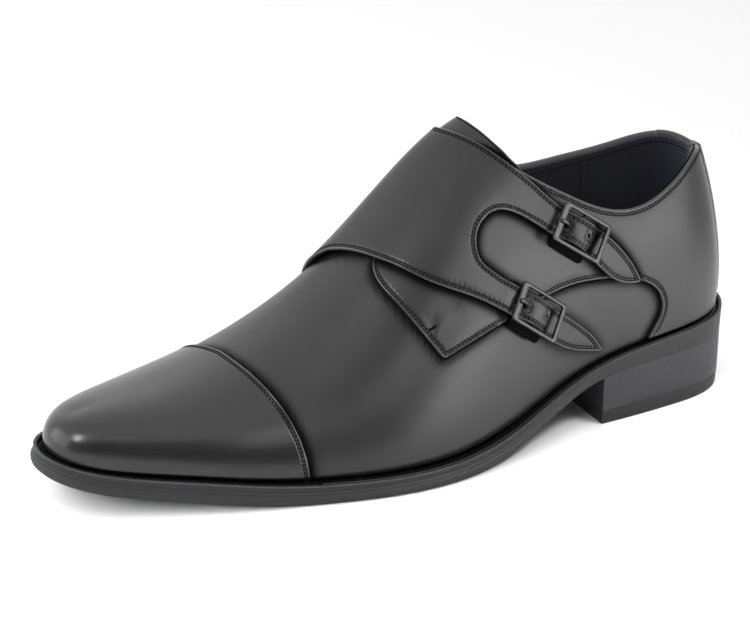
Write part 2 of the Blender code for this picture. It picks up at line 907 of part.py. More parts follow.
def inside(points, loop):
    """Which flat points lie within a closed loop."""
    x, y = points.T
    result = np.zeros(len(points), bool)
    for (x0, y0), (x1, y1) in zip(loop, np.roll(loop, -1, axis=0)):
        if y0 == y1:
            continue
        crosses = (y0 > y) != (y1 > y)
        result ^= crosses & (x < (x1 - x0) * (y - y0) / (y1 - y0) + x0)
    return result


def distance_to(points, loop):
    """Least distance of flat points from a closed loop."""
    best = np.full(len(points), np.inf)
    for start, end in zip(loop, np.roll(loop, -1, axis=0)):
        run = end - start
        share = np.clip((points - start) @ run / max(run @ run, 1e-12), 0, 1)
        away = points - start - share[:, None] * run
        best = np.minimum(best, np.hypot(*away.T))
    return best


def grid_spots():
    """Spots of the upper's own grid, so that laid-over pieces follow its facets."""
    spots = []
    for side in (1, -1):
        seam, girth = upper_grid(side)
        spots.append(np.column_stack([seam.ravel(), girth.ravel()]))
    behind = spots[1].copy()
    behind = behind[behind[:, 0] < 0.05]
    behind[:, 0] *= -1
    behind[:, 1] = 2 - behind[:, 1]
    collar_rows = np.array([(seam, girth) for seam in SEAM_STEPS for girth in np.linspace(.5, 1.5, 13)])
    collar_rows = collar_rows[(collar_rows[:, 0] > 0.3) & (collar_rows[:, 0] < THROAT)]
    return np.concatenate(spots + [behind, collar_rows])


def pattern_piece(name, outline, lift, thickness, material, collection, holes=()):
    """A piece cut to an outline on the chart and laid over the last.

    The lift is a distance above the last, or a function of seam and girth.
    """
    loops = [chart(outline)] + [chart(hole) for hole in holes]
    free = chart(grid_spots())
    free = free[inside(free, loops[0])]
    for loop in loops:
        free = free[distance_to(free, loop) > LEAST_STEP]
    for hole in loops[1:]:
        free = free[~inside(free, hole)]
    if len(free):
        _, first = np.unique(np.round(free, 1), axis=0, return_index=True)
        free = free[np.sort(first)]
    edges = []
    start = 0
    for loop in loops:
        edges += [(start + i, start + (i + 1) % len(loop)) for i in range(len(loop))]
        start += len(loop)
    flat = np.concatenate(loops + [free])
    verts, _, faces, *_ = delaunay_2d_cdt([Vector(spot) for spot in flat], edges, [], 0, 1e-4)
    flat = np.array(verts)
    kept = []
    middles = np.array([flat[list(face)].mean(axis=0) for face in faces])
    keep = inside(middles, loops[0])
    for hole in loops[1:]:
        keep &= ~inside(middles, hole)
    for face, good in zip(faces, keep):
        if good:
            kept.append(tuple(face)[::-1])
    seam, girth = (flat / (SEAM_LENGTH, GIRTH_LENGTH)).T
    height = lift(seam, girth) if callable(lift) else lift
    return shell(name, last_point(seam, girth, height), kept, thickness, 1, material, collection)


def build_toe_cap(material, collection):
    """Cap over the toe, its straight seam across the vamp."""
    shared = SEAM_STEPS[SEAM_STEPS > 0.765]
    points = []
    faces = []
    rows = len(CLIMB_STEPS)
    for side in (1, -1):
        columns = []
        climb = np.maximum(CLIMB_STEPS, FOOT_GIRTH)
        girth = climb if side > 0 else 2 - climb
        seam_line = CAP_CURVE(girth)[:, 0]
        for share in (0.0, 1 / 3, 2 / 3):
            columns.append(seam_line + (shared[0] - seam_line) * share)
        columns += [np.full(rows, seam) for seam in shared]
        seam = np.array(columns)
        start = sum(len(block) for block in points)
        points.append(last_point(seam.ravel(), np.tile(girth, len(columns)), OVER_UPPER))
        for i in range(len(columns) - 1):
            for j in range(rows - 1):
                a = start + i * rows + j
                quad = (a, a + rows, a + rows + 1, a + 1)
                faces.append(quad if side < 0 else quad[::-1])
    return shell("toe_cap", np.concatenate(points), faces, SKIN, 1, material, collection)


BACK_SEAM = 0.006         # half the gap between the quarters at the back


def collar_run(side, start, end, count=26):
    """Spots along the collar between two seams."""
    seam = np.linspace(start, end, count)
    climb = collar_climb(seam, side)
    return np.column_stack([seam, climb if side > 0 else 2 - climb])


def build_quarter(material, collection):
    """Outer quarter: heel counter, lobe and the pointed front under the straps."""
    foot = FOOT_GIRTH
    collar = collar_run(1, 0.405, BACK_SEAM)
    back = run_through([Spot(BACK_SEAM, collar[-1, 1]), Spot(BACK_SEAM, foot)])
    feather = run_through([Spot(BACK_SEAM, foot), Spot(QUARTER_LOBE[0].seam, foot)])
    lobe = run_through([Spot(QUARTER_LOBE[0].seam, foot)] + QUARTER_LOBE[1:])
    front = run_through(QUARTER_FRONT)
    outline = np.concatenate([collar[:-1], back, feather, lobe, front])
    return pattern_piece("outer_quarter", outline, OVER_UPPER, SKIN, material, collection)


def oval(frame, along, half_length, half_width, corners=10):
    """Spots of an oval on a strap, placed from its buckle."""
    spots = []
    for corner in range(corners):
        angle = 2 * math.pi * corner / corners
        spots.append(frame.spot(along + half_length * math.cos(angle), half_width * math.sin(angle)))
    return spots


def build_flap(material, collection):
    """Inner quarter, whose front crosses the instep and ends in two pointed straps."""
    foot = 2 - FOOT_GIRTH
    collar = collar_run(-1, BACK_SEAM, 0.332)
    back = run_through([Spot(BACK_SEAM, foot), Spot(BACK_SEAM, collar[0, 1])])
    feather = run_through([Spot(FLAP_FRONT[0].seam, foot), Spot(BACK_SEAM, foot)])
    edges = {frame.name: frame.strap_edges() for frame in BUCKLE_FRAMES}
    front = run_through([Spot(FLAP_FRONT[0].seam, foot)] + FLAP_FRONT[1:] + edges["lower_strap"][0])
    notch = run_through(edges["lower_strap"][1] + STRAP_NOTCH + edges["upper_strap"][0])
    top = run_through(edges["upper_strap"][1] + FLAP_TOP + [Spot(*collar[-1])])
    outline = np.concatenate([back, collar[:-1], top[::-1], notch[::-1], front[::-1], feather])
    holes = [oval(frame, PRONG_HOLE, PRONG_HOLE_LENGTH, PRONG_HOLE_WIDTH) for frame in BUCKLE_FRAMES]
    return pattern_piece("strap_flap", outline, flap_lift, STRAP, material, collection, holes)


def build_tongue(material, collection):
    """Tongue under the throat, standing a little above the flap."""
    side = run_through(TONGUE + [TONGUE[0]])
    return pattern_piece("tongue", side, tongue_lift, SKIN, material, collection)


def build_backstay(material, collection):
    """Narrow strip over the back seam."""
    half = BACKSTAY_WIDTH / 2 / SEAM_LENGTH
    low, high = 2 * FOOT_GIRTH, TOPLINE[0].outer
    outline = np.concatenate([
        run_through([Spot(-half, low), Spot(0.0, low), Spot(half, low)], 3.0),
        run_through([Spot(half, low), Spot(half, high)], 6.0),
        run_through([Spot(half, high), Spot(0.0, high), Spot(-half, high)], 3.0),
        run_through([Spot(-half, high), Spot(-half, low)], 6.0)])
    return pattern_piece("backstay", outline, OVER_SKIN, BACKSTAY_THICKNESS, material, collection)


# ---------------------------------------------------------------- the buckles


def build_tab(frame, material, collection):
    """Short leather tab that carries the buckle's hidden bar."""
    front, rear, low, high = TAB
    corners = [(front, low), (rear, low), (rear, high), (front, high)]
    outline = []
    for (a0, c0), (a1, c1) in zip(corners, corners[1:] + corners[:1]):
        for share in (0.12, 0.37, 0.63, 0.88):
            outline.append(frame.spot(a0 + (a1 - a0) * share, c0 + (c1 - c0) * share))
    return pattern_piece(f"{frame.name}_tab", outline, TAB_LIFT, TAB_THICKNESS, material, collection)


def rounded_rectangle(low_x, high_x, half_width, corner, steps=4):
    """Corner-rounded outline in millimetres."""
    low_x, high_x, half_width = low_x + corner, high_x - corner, half_width - corner
    centres = [(high_x, half_width), (low_x, half_width), (low_x, -half_width), (high_x, -half_width)]
    points = []
    for turn, (x, y) in enumerate(centres):
        for step in range(steps + 1):
            angle = math.pi / 2 * (turn + step / steps)
            points.append((x + corner * math.cos(angle), y + corner * math.sin(angle)))
    return points


def flat_ring(name, outer, inner, thickness):
    """A flat frame between two outlines, as a mesh."""
    curve = bpy.data.curves.new(name, "CURVE")
    curve.dimensions = "2D"
    curve.fill_mode = "BOTH"
    curve.extrude = thickness / 2 * MM
    for outline in (outer, inner):
        spline = curve.splines.new("POLY")
        spline.points.add(len(outline) - 1)
        for point, (x, y) in zip(spline.points, outline):
            point.co = (x * MM, y * MM, 0.0, 1.0)
        spline.use_cyclic_u = True
    return mesh_of_curve(name, curve)


def round_bar(name, path, radius):
    """A round bar along a path, as a mesh."""
    curve = bpy.data.curves.new(name, "CURVE")
    curve.dimensions = "3D"
    curve.bevel_depth = radius * MM
    curve.bevel_resolution = 2
    curve.use_fill_caps = True
    spline = curve.splines.new("POLY")
    spline.points.add(len(path) - 1)
    for point, place in zip(spline.points, path):
        point.co = (*(value * MM for value in place), 1.0)
    return mesh_of_curve(name, curve)


def mesh_of_curve(name, curve):
    """The closed mesh of a curve, its caps joined to its sides."""
    holder = bpy.data.objects.new(name + "_curve", curve)
    bpy.context.scene.collection.objects.link(holder)
    bpy.context.view_layer.update()
    evaluated = holder.evaluated_get(bpy.context.evaluated_depsgraph_get())
    mesh = bpy.data.meshes.new_from_object(evaluated)
    bpy.data.objects.remove(holder)
    body = bmesh.new()
    body.from_mesh(mesh)
    bmesh.ops.remove_doubles(body, verts=body.verts, dist=0.01 * MM)
    bmesh.ops.recalc_face_normals(body, faces=body.faces)
    body.to_mesh(mesh)
    body.free()
    mesh.name = name
    return mesh


def build_buckle(frame, material, collection, cutters):
    """Square frame with a wide front bar and a hidden bar under the strap."""
    half = BUCKLE_LENGTH / 2
    outer = rounded_rectangle(-half, half, BUCKLE_WIDTH / 2, BUCKLE_CORNER)
    inner_half = BUCKLE_WIDTH / 2 - SIDE_BAR
    inner = rounded_rectangle(-half + FRONT_BAR, half - REAR_BAR, inner_half, BUCKLE_CORNER / 2)
    name = f"{frame.name}_buckle"
    piece = add_object(name, flat_ring(name, outer, inner, BUCKLE_THICKNESS), material, collection)
    piece.matrix_world = frame.matrix(BUCKLE_LIFT)
    side = BUCKLE_WIDTH / 2 - SIDE_BAR / 2
    drop = BAR_LIFT - BUCKLE_LIFT
    bar_path = [(0.0, -side, 0.0), (0.0, -side, drop), (0.0, side, drop), (0.0, side, 0.0)]
    bar = bpy.data.objects.new(f"{frame.name}_bar", round_bar("bar", bar_path, BAR_RADIUS))
    cutters.objects.link(bar)
    bar.matrix_world = piece.matrix_world
    bar.hide_render = True
    bar.display_type = "WIRE"
    union = piece.modifiers.new("hidden bar", "BOOLEAN")
    union.operation = "UNION"
    union.solver = "MANIFOLD"      # EXACT leaves open edges at these thin bars
    union.object = bar
    return piece


def build_prong(frame, material, collection):
    """Prong from the hidden bar, up through the strap, onto the front bar."""
    top = BUCKLE_LIFT + BUCKLE_THICKNESS / 2 + PRONG_RADIUS + FIT
    low = BAR_LIFT - 0.3
    path = [
        (-BAR_RADIUS - FIT, 0.0, low),
        (PRONG_HOLE + 2.8, 0.0, low),
        (PRONG_HOLE + 1.2, 0.0, low + 0.5),
        (PRONG_HOLE - 0.6, 0.0, top - 1.1),
        (PRONG_HOLE - 1.8, 0.0, top),
        (-BUCKLE_LENGTH / 2 + 0.6, 0.0, top),
    ]
    name = f"{frame.name}_prong"
    piece = add_object(name, round_bar(name, path, PRONG_RADIUS), material, collection)
    piece.matrix_world = frame.matrix(0.0)
    return piece


# ------------------------------------------------------------------- the shoe


def clear_scene():
    """Start from an empty file."""
    for item in list(bpy.data.objects):
        bpy.data.objects.remove(item)


def build_shoe():
    """Build every piece of the shoe."""
    clear_scene()
    shoe = bpy.data.collections.new("monk_strap_shoe")
    cutters = bpy.data.collections.new("cutters")
    for collection in (shoe, cutters):
        bpy.context.scene.collection.children.link(collection)

    leather = make_material("black leather", (0.030, 0.030, 0.032), 0.38)
    cap_leather = make_material("polished cap leather", (0.028, 0.028, 0.030), 0.28)
    lining = make_material("lining leather", (0.010, 0.010, 0.012), 0.6)
    sole_rubber = make_material("sole rubber", (0.050, 0.050, 0.052), 0.6)
    heel_stack = make_material("heel stack", (0.060, 0.060, 0.064), 0.55)
    top_rubber = make_material("top piece rubber", (0.030, 0.030, 0.031), 0.7)
    welt_gloss = make_material("glossy welt", (0.008, 0.008, 0.008), 0.2)
    gunmetal = make_material("gunmetal", (0.16, 0.16, 0.17), 0.3, 1.0)

    build_outsole(sole_rubber, shoe)
    build_welt(welt_gloss, shoe)
    build_heel(heel_stack, shoe)
    build_top_piece(top_rubber, shoe)
    build_insole(lining, shoe)
    build_upper(leather, shoe)
    build_toe_cap(cap_leather, shoe)
    build_quarter(leather, shoe)
    build_flap(leather, shoe)
    build_tongue(leather, shoe)
    build_backstay(leather, shoe)
    for frame in BUCKLE_FRAMES:
        build_tab(frame, lining, shoe)
        build_buckle(frame, gunmetal, shoe, cutters)
        build_prong(frame, gunmetal, shoe)


build_shoe()
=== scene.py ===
"""Dressed model of a man's cap-toe shoe with two monk straps, left foot.

The shoe is worked out from one surface, the last.  A place on it is a spot:

    seam   0 at the back seam, 1 at the tip of the toe, along the feather line;
           a negative seam is the inner side of the back seam
    girth  0 at the outer feather line, 1 on the ridge, 2 at the inner feather line

Sizes are in millimetres and meshes in metres, toe along +X and the ground at Z = 0.
"""

import logging
import math
from collections.abc import Callable, Sequence
from dataclasses import dataclass
from enum import Enum
from typing import NamedTuple

import bpy
import numpy as np
from mathutils import Matrix, Vector
from mathutils.geometry import delaunay_2d_cdt
from mathutils.kdtree import KDTree

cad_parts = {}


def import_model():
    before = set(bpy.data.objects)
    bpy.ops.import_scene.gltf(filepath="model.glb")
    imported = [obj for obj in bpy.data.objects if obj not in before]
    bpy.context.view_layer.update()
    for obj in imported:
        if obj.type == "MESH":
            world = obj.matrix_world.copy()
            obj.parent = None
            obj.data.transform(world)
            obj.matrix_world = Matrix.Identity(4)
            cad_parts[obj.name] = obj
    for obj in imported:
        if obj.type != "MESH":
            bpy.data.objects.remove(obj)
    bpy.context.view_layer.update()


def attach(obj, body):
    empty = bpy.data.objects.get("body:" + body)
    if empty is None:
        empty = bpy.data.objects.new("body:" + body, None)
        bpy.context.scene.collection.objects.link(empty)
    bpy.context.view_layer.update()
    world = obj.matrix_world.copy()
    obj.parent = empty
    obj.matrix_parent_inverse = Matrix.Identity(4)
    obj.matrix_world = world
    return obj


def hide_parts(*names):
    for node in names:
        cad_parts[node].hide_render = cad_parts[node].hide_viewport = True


log = logging.getLogger("monk_strap_shoe")

Array = np.ndarray
Lift = Callable[[Array, Array], Array]
Place = tuple[float, float, float]
Colour = tuple[float, float, float]
Ends = tuple[float | None, float | None]
Level = Callable[[Array], Array]
Faces = Sequence[tuple[int, ...]]
Body = tuple[Array, Faces]
Tree, Node, Socket = bpy.types.NodeTree, bpy.types.Node, bpy.types.NodeSocket

MM = 0.001
BODY = "root"
HALF_LENGTH = 152.5       # from the back of the sole to the middle of the shoe
CENTRE_Y = 5.68           # the middle of the shoe's width, from the last's axis
CHART = (343.0, 84.0)     # near-true distances of one whole seam and one whole girth
PAINTED_SHADE = "painted_shade_mark"        # painted shade on a leather mesh: dull and dark near seams, edges and hollows
POLISH = "edge_polish"    # and glossy on its rolled edges
# near-black colour of the painted shade
SHADE_BLACK = (.0015, .0015, .0015)


# --- forms of the last ---


def table(kind: type[NamedTuple], *rows: tuple[float, ...]) -> list:
    """Rows of one kind."""
    return [kind(*row) for row in rows]


class Outline(NamedTuple):
    """Half widths of the sole's rim at one station."""
    station: float
    outer: float
    inner: float


OUTLINE = table(
    Outline,
    (0.0, 0.0, 0.0), (1.1, 6.5, 6.5), (4.0, 12.8, 12.8), (10.0, 20.6, 20.4), (20.0, 26.6, 26.8), (38.0, 31.0, 31.4),
    (60.0, 34.2, 33.0), (90.0, 38.0, 31.2), (120.0, 48.9, 29.6), (150.0, 57.6, 33.5), (180.0, 58.2, 42.0),
    (207.0, 53.3, 47.5), (235.0, 46.8, 44.2), (258.0, 39.4, 36.6), (276.0, 33.0, 28.0), (289.0, 28.3, 20.2),
    (297.0, 23.6, 13.0), (302.0, 17.8, 5.6), (304.3, 11.8, -0.4), (305.0, 6.0, -6.0),
)


class SoleHeight(NamedTuple):
    """Underside of the sole above the ground, its edge, and the rim's drop below the last."""
    station: float
    underside: float
    edge: float
    drop: float


SOLE_HEIGHTS = table(
    SoleHeight,
    (0.0, 25.0, 11.0, 1.4), (40.0, 23.6, 9.4, 1.6), (72.0, 20.8, 9.0, 2.9), (95.0, 12.3, 9.0, 2.6),
    (120.0, 3.9, 9.2, 1.9), (145.0, 0.5, 8.8, 1.5), (175.0, 0.0, 8.4, 1.3), (205.0, 0.0, 8.3, 0.6),
    (225.0, 1.3, 8.3, 0.1), (250.0, 4.4, 8.3, 0.0), (280.0, 8.3, 8.3, 0.0), (305.0, 14.6, 8.3, 0.0),
)


class Feather(NamedTuple):
    """Distance of the upper's foot from the sole's rim."""
    seam: float
    inset: float


FEATHER = table(
    Feather,
    (0.0, 4.3), (0.1, 4.2), (0.25, 4.0), (0.5, 5.0), (1.0, 5.0),
)


class Rib(NamedTuple):
    """One rib of the last: its top on the ridge, and the form of each side.

    On each side, as shares of the rib's reach and height: how far the wall
    leans out, how high that is, the reach and height of the shoulder, and the
    reach of the flat top.
    """
    seam: float
    ridge_x: float
    ridge_y: float
    ridge_z: float
    out_lean: float
    out_rise: float
    out_reach: float
    out_shoulder: float
    out_top: float
    in_lean: float
    in_rise: float
    in_reach: float
    in_shoulder: float
    in_top: float


RIBS = table(
    Rib,
    (0.00, 24.0, -1.0, 120.0, .12, .25, .80, .60, .35, .12, .25, .80, .60, .35),
    (0.10, 33.0, -1.0, 122.0, .08, .25, 1.0, .62, .50, .08, .25, 1.0, .62, .50),
    (0.25, 78.0, -2.0, 127.0, .05, .25, .95, .65, .50, .08, .25, .95, .65, .50),
    (0.40, 125.0, -4.0, 123.0, .03, .25, .86, .66, .52, .20, .26, .98, .65, .52),
    (0.50, 158.0, -5.0, 94.0, .01, .25, .80, .73, .50, .20, .28, .95, .72, .50),
    (0.62, 194.0, -5.0, 61.0, .00, .25, .82, .80, .50, .08, .30, .88, .80, .50),
    (0.74, 230.0, -2.0, 43.2, .00, .30, .88, .84, .55, .03, .32, .88, .84, .55),
    (0.86, 262.0, 1.0, 37.0, .00, .38, .92, .90, .60, .02, .38, .92, .90, .60),
    (0.95, 280.0, 4.0, 35.6, .01, .40, .95, .93, .60, .01, .40, .95, .93, .60),
    (1.00, 284.5, 5.0, 35.0, .02, .40, .95, .93, .60, .02, .40, .95, .93, .60),
)


class Topline(NamedTuple):
    """Girth share, up each side's rib, where the upper ends at the collar."""
    seam: float
    outer: float
    inner: float


THROAT = 0.42             # seam where the collar reaches the ridge

TOPLINE = table(
    Topline,
    (0.00, .665, .665), (0.04, .670, .674), (0.08, .655, .674), (0.126, .588, .638), (0.155, .540, .606),
    (0.19, .499, .576), (0.22, .491, .560), (0.255, .518, .548), (0.29, .574, .552), (0.332, .655, .600),
    (0.375, .760, .700), (0.405, .880, .850), (THROAT, 1.0, 1.0),
)


class Spot(NamedTuple):
    """A place on the last."""
    seam: float
    girth: float


CAP_SEAM = table(
    Spot,
    (.671, 0.0), (.677, .25), (.688, .45), (.703, .67), (.717, .92), (.7235, 1.10), (.728, 1.30), (.731, 1.60),
    (.728, 2.0),
)

# the outer quarter, from the sole near the heel, round its front, to the collar
QUARTER_LOBE = table(
    Spot,
    (.190, .0), (.176, .07), (.170, .128), (.177, .189), (.196, .236), (.242, .277), (.299, .31), (.36, .322),
    (.44, .338), (.493, .347),
)
QUARTER_FRONT = table(
    Spot,
    (.493, .347), (.504, .409), (.518, .50), (.531, .61), (.5385, .70), (.537, .78), (.52, .84), (.48, .87),
    (.41, .86),
)

# the inner quarter: its front edge goes over the ridge and becomes the straps
FLAP_FRONT = table(
    Spot,
    (.535, 2.0), (.552, 1.72), (.566, 1.40), (.569, 1.22), (.562, 1.08), (.5465, .945), (.529, .793), (.513, .692),
    (.495, .602), (.473, .526), (.438, .437),
)
STRAP_NOTCH = table(
    Spot,
    (.404, .452), (.418, .494), (.428, .545), (.424, .595), (.410, .620), (.392, .617), (.369, .581), (.351, .543),
)
FLAP_TOP = table(
    Spot,
    (.328, .615), (.350, .685), (.372, .765), (.392, .867), (.403, .955), (.407, 1.06), (.403, 1.15), (.388, 1.26),
    (.362, 1.37),
)

TONGUE_END = table(
    Spot,
    (.330, .632), (.3357, .682), (.3479, .725), (.3574, .760), (.3649, .796), (.373, .856), (.3795, .932),
    (.3815, 1.02), (.380, 1.10), (.372, 1.17), (.358, 1.25), (.352, 1.31),
)
TONGUE_ROOT = table(
    Spot,
    (.352, 1.31), (.400, 1.33), (.450, 1.31), (.500, 1.27), (.500, .76), (.450, .70), (.400, .66), (.330, .632),
)


class BucklePlace(NamedTuple):
    """Middles of a buckle's front and rear bars, its turns, and its strap's edges to the tip.

    Tilt raises the rear bar and roll lowers the upper side, in radians.  The edges' places
    are distances from the buckle's middle, towards the tip and towards the collar.
    """
    name: str
    front: Spot
    rear: Spot
    tilt: float
    roll: float
    lower_edge: list
    upper_edge: list


BUCKLES = [
    BucklePlace(
        "upper_strap", Spot(.3164, .5141), Spot(.2626, .3963), 0.0, 0.12,
        [(-13.0, -5.6), (0.0, -5.1), (13.0, -5.9), (23.4, -7.7), (31.6, -6.5), (38.1, -2.8)],
        [(38.1, -2.8), (32.9, 0.1), (25.0, 3.2), (15.0, 5.6), (0.0, 6.1), (-13.0, 6.1)]),
    BucklePlace(
        "lower_strap", Spot(.3914, .3725), Spot(.3357, .2376), 0.09, 0.12,
        [(-14.0, -5.9), (0.0, -5.3), (17.0, -5.0), (27.3, -3.1), (34.6, -0.3), (42.7, 3.5)],
        [(42.7, 3.5), (36.9, 5.6), (28.2, 6.8), (17.0, 6.9), (11.0, 6.4), (0.0, 6.0), (-14.0, 5.8)]),
]


class StrapLift(NamedTuple):
    """Rise of a strap over its buckle's hidden bar, along the strap."""
    along: float
    lift: float


STRAP_PUFF = table(
    StrapLift,
    (-22.0, 0.0), (-13.0, 0.8), (-10.0, 0.7), (-7.5, 1.7), (-4.5, 3.2), (-1.0, 3.9), (2.0, 3.8), (4.8, 3.15),
    (6.4, 1.7), (7.8, 0.4), (9.5, 0.1), (12.5, 0.0),
)


# --- curves and last ---


class Slot(Enum):
    """Material slots of the finishes."""

    LEATHER = "leather"
    CAP = "cap_leather"
    LINING = "lining"
    SOLE = "sole_rubber"
    HEEL = "heel_stack"
    TOP_PIECE = "top_rubber"
    WELT = "welt_gloss"
    METAL = "gunmetal"


class Side(Enum):
    """The two sides of the shoe; the value is the sign of its width."""

    OUTER = 1
    INNER = -1

    def girth(self, climb: Array) -> Array:
        """Girth of a climb up this side's ribs."""
        return climb if self is Side.OUTER else 2 - climb


class Spline:
    """Cubic spline through rows of values."""

    def __init__(self, places: Sequence[float], values: Array, slopes: Ends = (None, None)) -> None:
        """Solve for the spline's bends.

        Args:
            places: where each row stands, rising.
            values: one row of numbers for each place.
            slopes: slope at each end, or None for a free end.
        """
        x = np.asarray(places, float)
        y = np.asarray(values, float)
        if y.ndim == 1:
            y = y[:, None]
        count = len(x)
        step = np.diff(x)[:, None]
        rise = np.diff(y, axis=0) / step
        matrix = np.eye(count)
        right = np.zeros_like(y)
        for i in range(1, count - 1):
            matrix[i, i - 1:i + 2] = step[i - 1, 0], 2 * (step[i - 1, 0] + step[i, 0]), step[i, 0]
            right[i] = 6 * (rise[i] - rise[i - 1])
        if slopes[0] is not None:
            matrix[0, :2] = 2 * step[0, 0], step[0, 0]
            right[0] = 6 * (rise[0] - slopes[0])
        if slopes[1] is not None:
            matrix[-1, -2:] = step[-1, 0], 2 * step[-1, 0]
            right[-1] = 6 * (slopes[1] - rise[-1])
        self.x, self.y, self.step = x, y, step
        self.bend = np.linalg.solve(matrix, right)

    def __call__(self, at: Array | float) -> Array:
        """Rows of the spline at the given places."""
        at = np.clip(np.atleast_1d(np.asarray(at, float)), self.x[0], self.x[-1])
        i = np.clip(np.searchsorted(self.x, at, side="right") - 1, 0, len(self.x) - 2)
        a = ((self.x[i + 1] - at) / self.step[i, 0])[:, None]
        b = 1 - a
        curve = a * self.y[i] + b * self.y[i + 1]
        return curve + ((a**3 - a) * self.bend[i] + (b**3 - b) * self.bend[i + 1]) * self.step[i]**2 / 6

    @classmethod
    def table(cls, rows: Sequence[tuple], slopes: Ends = (None, None)) -> "Spline":
        """Spline through a table whose first column is the place."""
        block = np.array(rows, float)
        return cls(block[:, 0], block[:, 1:], slopes)


def smooth_step(value: Array) -> Array:
    """Ease from 0 to 1."""
    value = np.clip(value, 0.0, 1.0)
    return value * value * (3 - 2 * value)


def unit(vectors: Array) -> Array:
    """Vectors made one long."""
    return vectors / np.maximum(np.linalg.norm(vectors, axis=-1, keepdims=True), 1e-12)


def closed(rows: Array) -> Array:
    """Rows of a loop, with the first again at its end."""
    return np.concatenate([rows, rows[:1]])


def run_length(points: Array) -> Array:
    """Distance along a run of points to each of them."""
    return np.r_[0, np.cumsum(np.linalg.norm(np.diff(points, axis=0), axis=1))]


def spaced(columns: int) -> Array:
    """Seams from back to toe, closer together at the two ends."""
    even = np.linspace(0.0, 1.0, columns + 1)
    return even - 0.4 * np.sin(2 * math.pi * even) / (2 * math.pi)


def in_metres(points: Array) -> Array:
    """From the last's own axes to the shoe's frame."""
    return (np.asarray(points) - (HALF_LENGTH, CENTRE_Y, 0.0)) * MM


def paired(seam: Array | float, girth: Array | float) -> list[Array]:
    """Seams and girths as rows of one length."""
    return np.broadcast_arrays(np.atleast_1d(np.asarray(seam, float)), np.atleast_1d(np.asarray(girth, float)))


